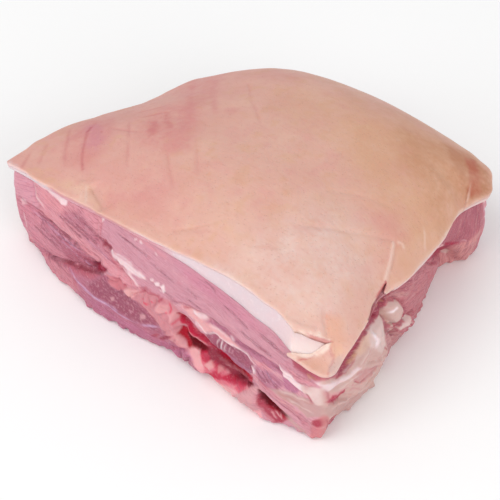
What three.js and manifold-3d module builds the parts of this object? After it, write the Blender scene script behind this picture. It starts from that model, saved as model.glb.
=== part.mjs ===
// A pork loin roast: one raw, boned block of pork with its back fat and rind on top.
// Millimetres, +Z up. The origin lies under the middle of the joint, on the surface that it rests on.
// X runs along the joint. The long cut face looks towards -Y and the short cut face towards +X.

import * as THREE from "three";
import { mergeVertices } from "three/addons/utils/BufferGeometryUtils.js";
import Module from "manifold-3d";

// Driving dimensions
const LENGTH = 270; // along X, over the rind
const WIDTH = 222; // along Y, over the rind
const DOME = 25; // how far the rind's crest stands above a sheet stretched between its edges
const CREST = { along: 0.55, across: 0.62 }; // where the crest is, as shares of length and width
const SHOULDER = 0.7; // below 1 the dome stays high and turns down sharply at the back
const RIND = 2.5; // the skin itself
const FAT_THIN = 2.5; // fat under the skin at the lean end
const FAT_MIDDLE = 4; // more of it under the middle of the sheet
const FAT_THICK = 10; // more of it at the fat end of the long cut face
const FAT_LEAN = 4; // how far the cut fat slopes outwards below the lip of the skin
const LAYER_GAP = 0.9; // between the fat layer and the meat
const BOTTOM_ROUND = 7; // rounding where the cut faces turn under
const SIDE_SWELL = 3; // how far the cut faces swell between top and bottom
const CORNER_SPAN = 4; // steps over which the cut faces turn at a corner
const CORNER_FADE = 0.06; // share of a cut face at each end where its relief dies out
const LIP_FADE = 0.12; // share of a cut face under the fat where its relief comes in
const FOOT_CALM = 0.5; // share of the swell that is lost where the faces turn under
const UPRIGHT = { share: 0.8, reach: 0.1 }; // how nearly, and how far in, the layers are cut upright
const SLOPE_STEP = 0.02; // share of the sheet over which its slope is taken
const FORM_EDGE = 1.5; // above 1 a form has a flatter crown and a steeper edge

// Radii of the rind's corners, at the ends of its front and back edges
const RIND_CORNERS = { front: [2, 9], back: [5, 6] };

// Where the thick end of the fat comes in along X and dies out along Y, as shares of length and width
const FAT_END = { along: [0.48, 0.78], across: [0.05, 0.5], lip: 0.1 };

// Where the fat thins again: along the short cut face, and under the corner of the flap
const FAT_SHORT = { along: [0.9, 1], across: [0.04, 0.14] };
const FAT_CORNER = { along: [0.84, 0.98], loss: 0.9 };

// How far the rind hangs over the meat on each side
const OVERHANG = { front: 0.8, right: 5, back: 5, left: 2 };

// Steps of the mesh: along X, along Y, down the cut faces, and across the lip of the fat layer
const STEPS = { along: 44, across: 27, down: 17, lip: 3 };

// Edges of the rind, each from its left or front end
const RIND_EDGES = {
  front: [
    [-135, -97, 62], [-81, -101, 68], [-40, -104, 74], [5, -105, 78],
    [50, -101, 78.5], [90, -102, 75], [110, -104, 66], [133, -105, 51],
  ],
  right: [
    [133, -105, 51], [131.5, -84, 60], [127.5, -63, 64], [122.5, -46, 65], [124.3, -29, 63.5],
    [124, -12, 62.5], [119, 24, 59.5], [111.5, 54, 57.5], [114, 86, 52],
  ],
  back: [
    [-102, 85, 45], [-56, 106, 54], [2, 116, 53], [56, 117, 50], [97, 108, 50], [114, 86, 52],
  ],
  left: [[-135, -97, 62], [-133, -55, 62], [-125, -19, 59], [-114, 16, 57], [-107, 52, 57], [-102, 85, 45]],
};

// Edges of the foot that the joint rests on, in the same order
const FOOT_EDGES = {
  front: [
    [-132, -92], [-81, -111], [-39, -118], [0, -116], [48, -112], [91, -119], [108, -115], [134, -110],
  ],
  right: [
    [134, -110], [127, -97], [129, -82], [130, -66], [126, -48], [121, -28],
    [117, -8], [112, 14], [105, 32], [98, 54], [110, 69], [109, 86],
  ],
  back: [[-98, 82], [-54, 102], [2, 111], [56, 112], [92, 103], [109, 86]],
  left: [[-132, -92], [-129, -50], [-121, -15], [-111, 20], [-103, 52], [-98, 82]],
};

// Muscles, lumps of fat and hollows of the long cut face: place (x, z), half sizes, turn in degrees, rise
const FRONT_FORMS = [
  { name: "upper end muscle", at: [-88, 55], half: [36, 9], turn: 2, rise: 1.5 },
  { name: "loin band", at: [42, 53], half: [95, 9], turn: -5, rise: 1.5 },
  { name: "middle end muscle", at: [-86, 30], half: [36, 9], turn: 8, rise: 1.5 },
  { name: "hollow between muscles", at: [-44, 33], half: [14, 6], turn: 10, rise: -6 },
  { name: "bottom muscle", at: [-50, 10], half: [42, 9], turn: -2, rise: 2 },
  { name: "scoop above the pocket", at: [56, 30], half: [34, 8], turn: -8, rise: -4 },
  { name: "torn flap", at: [62, 10], half: [38, 9], turn: -2, rise: 4 },
  { name: "belly strip", at: [114, 20], half: [22, 7], turn: -14, rise: 1.5 },
];

// The same on the short cut face: place (y, z)
const RIGHT_FORMS = [
  { name: "end lobe", at: [66, 32], half: [13, 24], turn: 0, rise: 3 },
  { name: "large fat nodule", at: [-33, 43], half: [10, 9], turn: -20, rise: 4 },
  { name: "small fat nodule", at: [-16, 20], half: [10, 6], turn: -10, rise: 4 },
  { name: "upper fat mass", at: [-76, 38], half: [34, 9], turn: 12, rise: 3 },
  { name: "lower fat mass", at: [-74, 20], half: [34, 9], turn: 2, rise: 2 },
  { name: "side of the fat mass", at: [-46, 28], half: [8, 22], turn: -4, rise: 2 },
  { name: "blood pocket", at: [-94, 24], half: [13, 7], turn: -34, rise: -4 },
];

// Lobules of soft fat that tumble down the long cut face, and how large they are
const LOBULE_PATH = [[-34, 38], [-18, 36], [-5, 37], [8, 37], [14, 32], [18, 22], [28, 9], [42, 5]];
const LOBULES = { count: 9, half: 7, rise: 2.2 };

// Clefts of the long cut face, paths (x, z), and of the short one, paths (y, z): half width and depth
const FRONT_CLEFTS = [
  { name: "opened pocket", path: [[19, 34], [31, 28], [41, 25], [53, 22], [83, 21]], half: 6, depth: 6 },
  { name: "cleft at the torn flap", path: [[90, 20], [96, 17], [103, 13]], half: 4, depth: 4 },
];
const RIGHT_CLEFTS = [
  { name: "cleft beside the lobe", path: [[18, 48], [33, 36], [47, 24], [59, 10]], half: 9, depth: 5 },
  { name: "groove beside the nodules", path: [[-44, 50], [-40, 42], [-36, 30], [-28, 8]], half: 7, depth: 3 },
];

// Lobes of the two faces that are turned away
const HIDDEN_LOBES = { pitch: 46, rise: 3, slant: 0.5 };

// Cuts through the rind: the open end on its edge, the closed end, and the gap at the open end
const RIND_CUTS = [
  { name: "corner slash", open: [101, -116], closed: [127, -91], gap: 6 },
  { name: "edge slit", open: [128, -44], closed: [107, -6], gap: 2.5 },
];
const CUT_REACH = 120; // taller than the joint

const wasm = await Module();
wasm.setup();

// Small helpers
const UP = new THREE.Vector3(0, 0, 1);
const { clamp, lerp, degToRad, smoothstep } = THREE.MathUtils;
const gauss = (distance, width) => Math.exp(-((distance / width) ** 2));

function curveThrough(points) {
  const places = points.map(([x, y, z = 0]) => new THREE.Vector3(x, y, z));
  return new THREE.CatmullRomCurve3(places, false, "catmullrom", 0.5);
}

function curvesOf(edges) {
  return Object.fromEntries(Object.entries(edges).map(([side, points]) => [side, curveThrough(points)]));
}

// A sheet stretched between four edges that meet at its corners
function stretchedSheet({ front, right, back, left }) {
  return (u, v) => {
    const rails = front.getPointAt(u).multiplyScalar(1 - v).addScaledVector(back.getPointAt(u), v);
    const ribs = left.getPointAt(v).multiplyScalar(1 - u).addScaledVector(right.getPointAt(v), u);
    const corners = front.getPointAt(0).multiplyScalar((1 - u) * (1 - v))
      .addScaledVector(front.getPointAt(1), u * (1 - v))
      .addScaledVector(back.getPointAt(0), (1 - u) * v)
      .addScaledVector(back.getPointAt(1), u * v);
    return rails.add(ribs).sub(corners);
  };
}

// Eases a sharp corner of the sheet into an arc
function roundedCorner(u, v) {
  const radius = RIND_CORNERS[v < 0.5 ? "front" : "back"][u < 0.5 ? 0 : 1];
  const a = radius - Math.min(u, 1 - u) * LENGTH;
  const b = radius - Math.min(v, 1 - v) * WIDTH;
  if (a <= 0 || b <= 0) return [u, v];
  const pull = Math.max(a, b) / Math.hypot(a, b);
  const [inU, inV] = [(radius - a * pull) / LENGTH, (radius - b * pull) / WIDTH];
  return [u < 0.5 ? inU : 1 - inU, v < 0.5 ? inV : 1 - inV];
}

// The rind's outer face: a stretched sheet, domed most towards the back, where it turns down in a shoulder
const flatSheet = stretchedSheet(curvesOf(RIND_EDGES));

const fromCrest = (share, crest) => Math.abs(share - crest) / (share < crest ? crest : 1 - crest);

function domeShare(u, v) {
  const along = 1 - fromCrest(u, CREST.along) ** 2;
  const across = 1 - fromCrest(v, CREST.across) ** 2;
  return Math.max(along, 0) * Math.max(across, 0) ** (v < CREST.across ? 1 : SHOULDER);
}

function rindPoint(u, v) {
  return flatSheet(u, v).addScaledVector(UP, DOME * domeShare(u, v));
}

function rindNormal(u, v) {
  const [u0, u1] = [Math.max(u - SLOPE_STEP, 0), Math.min(u + SLOPE_STEP, 1)];
  const [v0, v1] = [Math.max(v - SLOPE_STEP, 0), Math.min(v + SLOPE_STEP, 1)];
  const along = rindPoint(u1, v).sub(rindPoint(u0, v));
  const across = rindPoint(u, v1).sub(rindPoint(u, v0));
  return along.cross(across).normalize();
}

// The fat is thickest at the front of the fat end, and thin along the short cut face
function fatEnd(u, v) {
  return smoothstep(u, ...FAT_END.along) * (1 - smoothstep(v, ...FAT_END.across));
}

function fatThickness(u, v) {
  const middle = 4 * u * (1 - u) * 4 * v * (1 - v); // 1 in the middle, 0 at the edges
  const shortFace = smoothstep(u, ...FAT_SHORT.along) * smoothstep(v, ...FAT_SHORT.across);
  const corner = FAT_CORNER.loss * smoothstep(u, ...FAT_CORNER.along);
  return RIND + FAT_THIN + FAT_MIDDLE * middle + FAT_THICK * fatEnd(u, v) * (1 - shortFace) * (1 - corner);
}

// Layers lie square to the rind, but are cut upright at the edges of the joint
function throughLayers(u, v) {
  const fromEdge = Math.min(u, 1 - u, v, 1 - v);
  return rindNormal(u, v).lerp(UP, UPRIGHT.share * (1 - smoothstep(fromEdge, 0, UPRIGHT.reach))).normalize();
}

function fatPoint(u, v) {
  const lean = FAT_LEAN * fatEnd(u, v) * (1 - smoothstep(v, 0, FAT_END.lip));
  return rindPoint(u, v)
    .addScaledVector(throughLayers(u, v), -fatThickness(u, v))
    .add(new THREE.Vector3(0, -lean, 0));
}

// The meat's upper face lies just under the fat, short of the rind's edges
function meatTopPoint(u, v) {
  const inU = lerp(OVERHANG.left / LENGTH, 1 - OVERHANG.right / LENGTH, u);
  const inV = lerp(OVERHANG.front / WIDTH, 1 - OVERHANG.back / WIDTH, v);
  return fatPoint(inU, inV).addScaledVector(throughLayers(inU, inV), -LAYER_GAP);
}

// The way round the sheet, counter-clockwise from the front left corner
function roundTheEdge() {
  const { along, across } = STEPS;
  const loop = [];
  for (let i = 0; i < along; i++) loop.push({ i, j: 0, side: "front", share: i / along });
  for (let j = 0; j < across; j++) loop.push({ i: along, j, side: "right", share: j / across });
  for (let i = along; i > 0; i--) loop.push({ i, j: across, side: "back", share: i / along });
  for (let j = across; j > 0; j--) loop.push({ i: 0, j, side: "left", share: j / across });
  return loop;
}

// A mesh under construction
class Shell {
  points = [];
  faces = [];

  add(point) {
    this.points.push(point.x, point.y, point.z);
    return this.points.length / 3 - 1;
  }

  // A sheet of points, one for each step; returns their numbers as [i][j]
  addSheet(pointAt, facesUp) {
    const { along, across } = STEPS;
    const numbers = [];
    for (let i = 0; i <= along; i++) {
      numbers.push([]);
      for (let j = 0; j <= across; j++) numbers[i].push(this.add(pointAt(i / along, j / across)));
    }
    for (let i = 0; i < along; i++) {
      for (let j = 0; j < across; j++) {
        const quad = [numbers[i][j], numbers[i + 1][j], numbers[i + 1][j + 1], numbers[i][j + 1]];
        this.addQuad(facesUp ? quad : quad.reverse());
      }
    }
    return numbers;
  }

  addQuad([a, b, c, d]) {
    this.faces.push(a, b, c, a, c, d);
  }

  // Faces between two closed loops of points, the upper one first
  addBand(upper, lower) {
    upper.forEach((_, k) => {
      const next = (k + 1) % upper.length;
      this.addQuad([upper[k], lower[k], lower[next], upper[next]]);
    });
  }

  geometry() {
    const made = new THREE.BufferGeometry();
    made.setAttribute("position", new THREE.Float32BufferAttribute(this.points, 3));
    made.setIndex(this.faces);
    return made;
  }
}

// The fat layer: rind above, fat below, and a slightly swollen lip between them
function fatLayerGeometry() {
  const shell = new Shell();
  const loop = roundTheEdge();
  const rind = shell.addSheet((u, v) => rindPoint(...roundedCorner(u, v)), true);
  const fat = shell.addSheet((u, v) => fatPoint(...roundedCorner(u, v)), false);
  const { along, across, lip } = STEPS;
  let upper = loop.map(({ i, j }) => rind[i][j]);
  for (let k = 1; k < lip; k++) {
    const share = k / lip;
    const level = loop.map(({ i, j }) => {
      const [u, v] = roundedCorner(i / along, j / across);
      const point = rindPoint(u, v).lerp(fatPoint(u, v), share);
      return shell.add(point);
    });
    shell.addBand(upper, level);
    upper = level;
  }
  shell.addBand(upper, loop.map(({ i, j }) => fat[i][j]));
  return shell.geometry();
}

// How far a form raises the face at (across the face, z)
function formRise({ at, half, turn, rise }, place) {
  const angle = degToRad(turn);
  const [dx, dz] = [place[0] - at[0], place[1] - at[1]];
  const a = (dx * Math.cos(angle) + dz * Math.sin(angle)) / half[0];
  const b = (-dx * Math.sin(angle) + dz * Math.cos(angle)) / half[1];
  return rise * Math.exp(-((a * a + b * b) ** FORM_EDGE));
}

function distanceToPath(path, [x, z]) {
  let nearest = Infinity;
  for (let k = 0; k + 1 < path.length; k++) {
    const [[ax, az], [bx, bz]] = [path[k], path[k + 1]];
    const [dx, dz] = [bx - ax, bz - az];
    const share = clamp(((x - ax) * dx + (z - az) * dz) / (dx * dx + dz * dz), 0, 1);
    nearest = Math.min(nearest, Math.hypot(x - ax - share * dx, z - az - share * dz));
  }
  return nearest;
}

const lobulePath = curveThrough(LOBULE_PATH);
const lobulePlaces = Array.from({ length: LOBULES.count }, (_, k) => {
  const { x, y } = lobulePath.getPointAt(k / (LOBULES.count - 1));
  return [x, y];
});

function faceRise(forms, clefts, place) {
  let rise = 0;
  for (const form of forms) rise += formRise(form, place);
  for (const { path, half, depth } of clefts) rise -= depth * gauss(distanceToPath(path, place), half);
  return rise;
}

function lobuleRise([x, z]) {
  const rises = lobulePlaces.map(([cx, cz]) => gauss(Math.hypot(x - cx, z - cz), LOBULES.half));
  return LOBULES.rise * Math.max(...rises);
}

const RELIEF = {
  front({ x, z }) {
    return faceRise(FRONT_FORMS, FRONT_CLEFTS, [x, z]) + lobuleRise([x, z]);
  },
  right({ y, z }) {
    return faceRise(RIGHT_FORMS, RIGHT_CLEFTS, [y, z]);
  },
  back({ x, z }) {
    return HIDDEN_LOBES.rise * Math.sin((2 * Math.PI * (x + HIDDEN_LOBES.slant * z)) / HIDDEN_LOBES.pitch);
  },
  left({ y, z }) {
    return HIDDEN_LOBES.rise * Math.sin((2 * Math.PI * (y - HIDDEN_LOBES.slant * z)) / HIDDEN_LOBES.pitch);
  },
};

// The meat: its upper face, four cut faces with their relief, and a flat foot
function meatGeometry() {
  const shell = new Shell();
  const foot = curvesOf(FOOT_EDGES);
  const top = shell.addSheet(meatTopPoint, true);
  const { along, across, down } = STEPS;
  const places = roundTheEdge().map(({ i, j, side, share }) => ({
    side, share, number: top[i][j],
    top: meatTopPoint(i / along, j / across),
    foot: foot[side].getPointAt(share),
  }));
  places.forEach((place, k) => {
    const before = places[(k + places.length - CORNER_SPAN) % places.length].foot;
    const after = places[(k + CORNER_SPAN) % places.length].foot;
    place.outward = after.clone().sub(before).cross(UP).normalize();
  });

  let upper = places.map(({ number }) => number);
  for (let level = 1; level <= down; level++) {
    const share = level / down;
    const lower = places.map((place) => shell.add(facePoint(place, share)));
    shell.addBand(upper, lower);
    upper = lower;
  }
  const rim = upper.map((number) => new THREE.Vector2().fromArray(shell.points, 3 * number));
  for (const [a, b, c] of THREE.ShapeUtils.triangulateShape(rim, [])) {
    shell.faces.push(upper[a], upper[c], upper[b]);
  }
  return shell.geometry();
}

// A point of a cut face, from share 0 at the fat to share 1 at the foot
function facePoint({ side, share: alongSide, top, foot, outward }, share) {
  const point = top.clone().lerp(foot, share);
  const inner = Math.sin(Math.PI * share);
  const corner = smoothstep(Math.min(alongSide, 1 - alongSide), 0, CORNER_FADE);
  const swell = SIDE_SWELL * inner + RELIEF[side](point) * smoothstep(share, 0, LIP_FADE) * corner;
  const turnUnder = clamp((BOTTOM_ROUND - point.z) / BOTTOM_ROUND, 0, 1);
  const under = BOTTOM_ROUND * (1 - Math.sqrt(1 - turnUnder ** 2));
  return point.addScaledVector(outward, swell * (1 - turnUnder * FOOT_CALM) - under);
}

// Cuts and joins
function solidOf(geometry) {
  const bare = geometry.clone();
  bare.deleteAttribute("normal");
  bare.deleteAttribute("uv");
  const merged = mergeVertices(bare);
  return new wasm.Manifold(new wasm.Mesh({
    numProp: 3,
    vertProperties: new Float32Array(merged.attributes.position.array),
    triVerts: new Uint32Array(merged.index.array),
  }));
}

function geometryOf(solid) {
  const { vertProperties, triVerts } = solid.getMesh();
  const made = new THREE.BufferGeometry();
  made.setAttribute("position", new THREE.BufferAttribute(vertProperties, 3));
  made.setIndex(new THREE.BufferAttribute(triVerts, 1));
  return made;
}

// A wedge that stands on end, wide at the open end of a cut and sharp at its closed end
function cutWedge({ open, closed, gap }) {
  const [start, end] = [new THREE.Vector2(...open), new THREE.Vector2(...closed)];
  const across = end.clone().sub(start).normalize().rotateAround(new THREE.Vector2(), Math.PI / 2);
  const outline = new THREE.Shape([
    start.clone().addScaledVector(across, -gap / 2),
    end,
    start.clone().addScaledVector(across, gap / 2),
  ]);
  return new THREE.ExtrudeGeometry(outline, { depth: CUT_REACH, bevelEnabled: false });
}

function withCuts(geometry) {
  const cut = RIND_CUTS.reduce((solid, wedge) => solid.subtract(solidOf(cutWedge(wedge))), solidOf(geometry));
  return geometryOf(cut);
}

// The part
function piece(name, geometry, colour, roughness) {
  geometry.computeVertexNormals();
  const material = new THREE.MeshStandardMaterial({ color: colour, roughness, metalness: 0 });
  const mesh = new THREE.Mesh(geometry, material);
  mesh.name = name;
  return mesh;
}

const roast = new THREE.Group();
roast.add(piece("fat_layer", withCuts(fatLayerGeometry()), 0xe0b29c, 0.5));
roast.add(piece("meat", meatGeometry(), 0xc4788a, 0.4));

// The middle of the joint's box goes over the origin
const middle = new THREE.Box3().setFromObject(roast).getCenter(new THREE.Vector3());
for (const mesh of roast.children) mesh.geometry.translate(-middle.x, -middle.y, 0);

export default roast;
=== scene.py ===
import math

import bpy
import numpy as np
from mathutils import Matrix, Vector
from mathutils.kdtree import KDTree


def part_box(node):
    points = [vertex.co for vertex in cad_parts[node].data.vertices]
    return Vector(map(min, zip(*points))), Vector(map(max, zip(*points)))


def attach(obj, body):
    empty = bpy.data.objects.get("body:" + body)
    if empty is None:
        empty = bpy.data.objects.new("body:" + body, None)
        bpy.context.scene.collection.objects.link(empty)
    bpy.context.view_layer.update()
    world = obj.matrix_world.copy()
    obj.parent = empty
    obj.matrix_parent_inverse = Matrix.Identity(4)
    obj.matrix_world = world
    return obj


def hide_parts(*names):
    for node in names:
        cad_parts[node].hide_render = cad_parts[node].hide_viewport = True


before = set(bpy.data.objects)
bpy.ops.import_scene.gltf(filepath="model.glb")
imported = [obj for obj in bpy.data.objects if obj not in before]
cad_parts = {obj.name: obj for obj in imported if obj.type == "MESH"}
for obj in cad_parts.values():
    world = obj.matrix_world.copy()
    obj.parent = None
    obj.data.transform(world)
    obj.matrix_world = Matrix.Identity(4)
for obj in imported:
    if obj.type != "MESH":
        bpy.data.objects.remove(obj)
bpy.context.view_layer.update()  # one body, "root", with the nodes fat_layer and meat
mm = 0.001
far = 1e9  # farther than any place is
tiny = 1e-9  # stands in for nothing in a division
pathBends = 14  # points that a path is read at
upward = np.array([0, 0, 1.0])
print("frame loaded:", sorted(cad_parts))


# small tools

def lin(rgb):
    # a screen colour, 0 to 255, as the linear value that a shader wants
    c = np.asarray(rgb, float) / 255
    return np.where(c <= 0.04045, c / 12.92, ((c + 0.055) / 1.055) ** 2.4)


def ease(x, low, high):
    # 0 up to low and 1 from high on, with a smooth step between them
    t = np.clip((x - low) / (high - low), 0, 1)
    return t * t * (3 - 2 * t)


def fadeEnds(share, tip, most=1):
    # 1 along a path; its start comes up from 0, and its end goes down by most
    return ease(share, 0, tip) * (1 - most * ease(share, 1 - tip, 1))


def bell(gap, half, crisp=2):
    return np.exp(-np.abs(gap / half) ** crisp)


def unit(vectors):
    return vectors / np.linalg.norm(vectors, axis=-1, keepdims=True)


def softNoise(places, size, seed):
    # smooth random values from -1 to 1, in lumps of the given size
    cells = 32  # the pattern comes again after as many lumps
    table = np.random.RandomState(seed).uniform(-1, 1, (cells, cells, cells))
    scaled = np.asarray(places, float) / size
    cell = np.floor(scaled).astype(int)
    share = scaled - cell
    share = share * share * (3 - 2 * share)
    total = 0
    for corner in np.ndindex(2, 2, 2):
        weight = np.prod(np.where(np.array(corner) == 1, share, 1 - share), axis=-1)
        at = (cell + corner) % cells
        total = total + weight * table[at[..., 0], at[..., 1], at[..., 2]]
    return total


def lumpy(places, lumps, seed):
    # soft noise in several sizes of lump, given as size and height
    return sum(height * softNoise(places, size, seed + k) for k, (size, height) in enumerate(lumps))


def curveAt(points, shares):
    # a smooth curve through the points, read at shares of its length
    steps = 40  # read between two points
    p = np.asarray(points, float)
    p = np.vstack([2 * p[0] - p[1], p, 2 * p[-1] - p[-2]])
    t = np.linspace(0, len(p) - 3, steps * len(p))
    k = np.minimum(t.astype(int), len(p) - 4)
    w = (t - k)[:, None]
    a, b, c, d = p[k], p[k + 1], p[k + 2], p[k + 3]
    dense = b + 0.5 * w * (c - a + w * (2 * a - 5 * b + 4 * c - d + w * (3 * b - a - 3 * c + d)))
    run = np.r_[0, np.cumsum(np.linalg.norm(np.diff(dense, axis=0), axis=1))]
    wanted = np.asarray(shares, float) * run[-1]
    return np.stack([np.interp(wanted, run, dense[:, axis]) for axis in range(p.shape[1])], -1)


def alongPath(places, path, bends=pathBends):
    # how far each place is from a smooth path, how far along it (0 to 1), and on which side
    path = curveAt(path, np.linspace(0, 1, bends))
    lengths = np.linalg.norm(np.diff(path, axis=0), axis=1)
    gap = np.full(len(places), far)
    share = np.zeros(len(places))
    side = np.zeros(len(places))
    start = 0
    for a, b, length in zip(path[:-1], path[1:], lengths):
        way = (b - a) / length
        rel = places - a
        t = np.clip(rel @ way, 0, length)
        off = np.linalg.norm(rel - t[:, None] * way, axis=1)
        near = off < gap
        gap = np.where(near, off, gap)
        share = np.where(near, (start + t) / lengths.sum(), share)
        side = np.where(near, np.sign(way[0] * rel[:, 1] - way[1] * rel[:, 0]), side)
        start += length
    return gap, share, side


def flatTree(places):
    # to find the nearest of some places in a plane
    tree = KDTree(len(places))
    for k, (x, y) in enumerate(places):
        tree.insert((x, y, 0), k)
    tree.balance()
    return tree


def mixTint(tint, colour, weight):
    return tint + (lin(colour) - tint) * np.clip(weight, 0, 1)[:, None]


def coated(count, colours, base, *coats):
    # one colour for all points, and coats of others over it, each with its weight
    tint = np.tile(lin(colours[base]), (count, 1))
    for name, weight in coats:
        tint = mixTint(tint, colours[name], weight)
    return tint


# paint: soft, torn areas and lines of colour on a face

brush = dict(margin=2, areaTorn=1.2, lineTorn=0.6, crisp=2.4, tip=0.2, tipTint=0.3)


def patch(colour, tint, soft, outline, wet=None, torn=0.35):
    return dict(colour=colour, tint=tint, soft=soft, line=outline, area=True, wet=wet, torn=torn)


def streak(colour, tint, half, path, wet=None, torn=0.35):
    return dict(colour=colour, tint=tint, soft=half, line=path, area=False, wet=wet, torn=torn)


def depthInside(places, outline):
    # distance to a closed outline, positive inside it
    corners = np.asarray(outline, float)
    gap = np.full(len(places), far)
    inside = np.zeros(len(places), bool)
    for a, b in zip(corners, np.roll(corners, -1, axis=0)):
        way, rel = b - a, places - a
        t = np.clip(rel @ way / max(way @ way, tiny), 0, 1)
        gap = np.minimum(gap, np.linalg.norm(rel - t[:, None] * way, axis=1))
        crosses = (a[1] > places[:, 1]) != (b[1] > places[:, 1])
        at = a[0] + (places[:, 1] - a[1]) * way[0] / (way[1] or tiny)
        inside ^= crosses & (places[:, 0] < at)
    return np.where(inside, gap, -gap)


def markWeight(mark, places, warp):
    # how strongly a mark covers each place; places far from it are passed over
    line, soft = mark["line"], mark["soft"]
    reach = 2 * soft + brush["margin"]
    near = ((places > line.min(axis=0) - reach) & (places < line.max(axis=0) + reach)).all(axis=1)
    weight = np.zeros(len(places))
    if not near.any():
        return weight
    torn = mark["torn"] * warp[near]
    if mark["area"]:
        weight[near] = ease(depthInside(places[near], line) + brush["areaTorn"] * torn, -soft, soft)
    else:
        gap, share, _ = alongPath(places[near], line, max(pathBends, len(line)))
        tint = brush["tipTint"] + (1 - brush["tipTint"]) * fadeEnds(share, brush["tip"])
        weight[near] = bell(gap + brush["lineTorn"] * torn, soft, brush["crisp"]) * tint
    return weight


# the photograph's view: marks on the rind and the cut faces are read off it, in its pixels

camera = dict(
    azimuth=40, elevation=42, distance=900, focal=1450, target=(20, -40, 36), picture=500,
    sensor=36, sight=50,  # the film's width in mm, and how far it sees in m
)
pinning = dict(step=3, reach=1.2, even=2)  # pixels between points and to the face, neighbours to even with


def viewAxes():
    # to the right, up, and back towards the viewer
    a, e = math.radians(camera["azimuth"]), math.radians(camera["elevation"])
    back = np.array([math.sin(a) * math.cos(e), -math.cos(a) * math.cos(e), math.sin(e)])
    right = np.array([math.cos(a), math.sin(a), 0])
    return right, np.cross(back, right), back


def inPicture(points):
    # the pixel that each layout point falls on, and how far off the point is
    right, up, back = viewAxes()
    rel = points - np.array(camera["target"]) - back * camera["distance"]
    away = -(rel @ back)
    pixels = np.stack([rel @ right, -(rel @ up)], -1) * camera["focal"] / away[:, None]
    return pixels + camera["picture"] / 2, away


def closerPoints(mark):
    # a mark's line in pixels, with points every few pixels along it
    line = np.array(mark["line"], float)
    if mark["area"]:
        line = np.vstack([line, line[:1]])
    lengths = np.linalg.norm(np.diff(line, axis=0), axis=1)
    if not mark["area"]:
        return curveAt(line, np.linspace(0, 1, 2 + int(lengths.sum() / pinning["step"])))
    counts = 1 + (lengths / pinning["step"]).astype(int)
    parts = [a + (b - a) * (np.arange(n) / n)[:, None] for a, b, n in zip(line[:-1], line[1:], counts)]
    return np.concatenate(parts)


def pinMarks(marks, points, places):
    # the same marks on the face itself: each point goes to the place of the face that shows at its pixel
    pixels, away = inPicture(points)
    terms = np.c_[pixels, np.ones(len(pixels))]
    flatFit = np.linalg.lstsq(terms, places, rcond=None)[0]
    slide = places - terms @ flatFit  # how far relief moves what shows
    tree = flatTree(pixels)
    beside = pinning["even"]

    def slideAt(pixel):
        spot = (pixel[0], pixel[1], 0)
        near = [k for _, k, _ in tree.find_range(spot, pinning["reach"])] or [tree.find(spot)[1]]
        return slide[min(near, key=lambda k: away[k])]

    def pinned(mark):
        line = closerPoints(mark)
        slides = np.array([slideAt(pixel) for pixel in line])
        padded = np.pad(slides, ((beside, beside), (0, 0)), "wrap" if mark["area"] else "edge")
        even = np.median([padded[n:][:len(line)] for n in range(2 * beside + 1)], axis=0)
        return np.c_[line, np.ones(len(line))] @ flatFit + even

    return [dict(mark, line=pinned(mark)) for mark in marks]


# meshes

def putValue(mesh, key, value):
    value = np.asarray(value, np.float32)
    if key == "tint":
        data = mesh.attributes.new(key, "FLOAT_COLOR", "POINT").data
        data.foreach_set("color", np.c_[value, np.ones(len(value))].astype(np.float32).ravel())
    elif value.ndim == 2:
        mesh.attributes.new(key, "FLOAT_VECTOR", "POINT").data.foreach_set("vector", value.ravel())
    else:
        mesh.attributes.new(key, "FLOAT", "POINT").data.foreach_set("value", value)


def smoothFaces(mesh):
    mesh.polygons.foreach_set("use_smooth", np.ones(len(mesh.polygons), bool))


def makeObject(name, points, faces, **values):
    # a smooth-shaded mesh from places in millimetres, with its painted values
    mesh = bpy.data.meshes.new(name)
    mesh.from_pydata((np.asarray(points) * mm).tolist(), [], faces)
    smoothFaces(mesh)
    for key, value in values.items():
        putValue(mesh, key, value)
    mesh.update()
    made = bpy.data.objects.new(name, mesh)
    bpy.context.scene.collection.objects.link(made)
    return made


def bandFaces(upper, lower):
    # quads between two closed loops of point numbers, the upper one first
    return np.stack([upper, lower, np.roll(lower, -1), np.roll(upper, -1)], -1).tolist()


def joinRings(rings, outer, start):
    # points and faces from a loop of point numbers on, ring by ring; a ring of one point closes them
    faces = []
    for ring in rings:
        inner = np.arange(start, start + len(ring))
        if len(ring) == 1:
            faces += [[int(a), start, int(b)] for a, b in zip(outer, np.roll(outer, -1))]
        else:
            faces += bandFaces(outer, inner)
        outer = inner
        start += len(ring)
    return np.concatenate(rings), faces


def outwardOf(loop):
    # level directions out of a loop that runs counter-clockwise
    return unit(np.cross(np.roll(loop, -1, axis=0) - np.roll(loop, 1, axis=0), upward))


# the rind as a sheet stretched between four edges and domed

sheet = dict(
    edges=dict(
        front=[
            (-135, -97, 62), (-81, -101, 68), (-40, -104, 74), (5, -105, 78),
            (50, -101, 78.5), (90, -102, 75), (110, -104, 66), (133, -105, 51),
        ],
        right=[
            (133, -105, 51), (131.5, -84, 60), (127.5, -63, 64), (122.5, -46, 65),
            (124.3, -29, 63.5), (124, -12, 62.5), (119, 24, 59.5), (111.5, 54, 57.5), (114, 86, 52),
        ],
        back=[(-102, 85, 45), (-56, 106, 54), (2, 116, 53), (56, 117, 50), (97, 108, 50), (114, 86, 52)],
        left=[
            (-135, -97, 62), (-133, -55, 62), (-125, -19, 59), (-114, 16, 57),
            (-107, 52, 57), (-102, 85, 45),
        ],
    ),
    size=(270, 222),  # length and width over the rind
    dome=25,
    crest=(0.55, 0.62),  # where the crest is, as shares of length and width
    shoulder=0.7,
    cornerRadius=((2, 9), (5, 6)),  # left and right, at the front and at the back
    loop=400,  # points to an edge, to find how far the rind reaches
)
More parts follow.
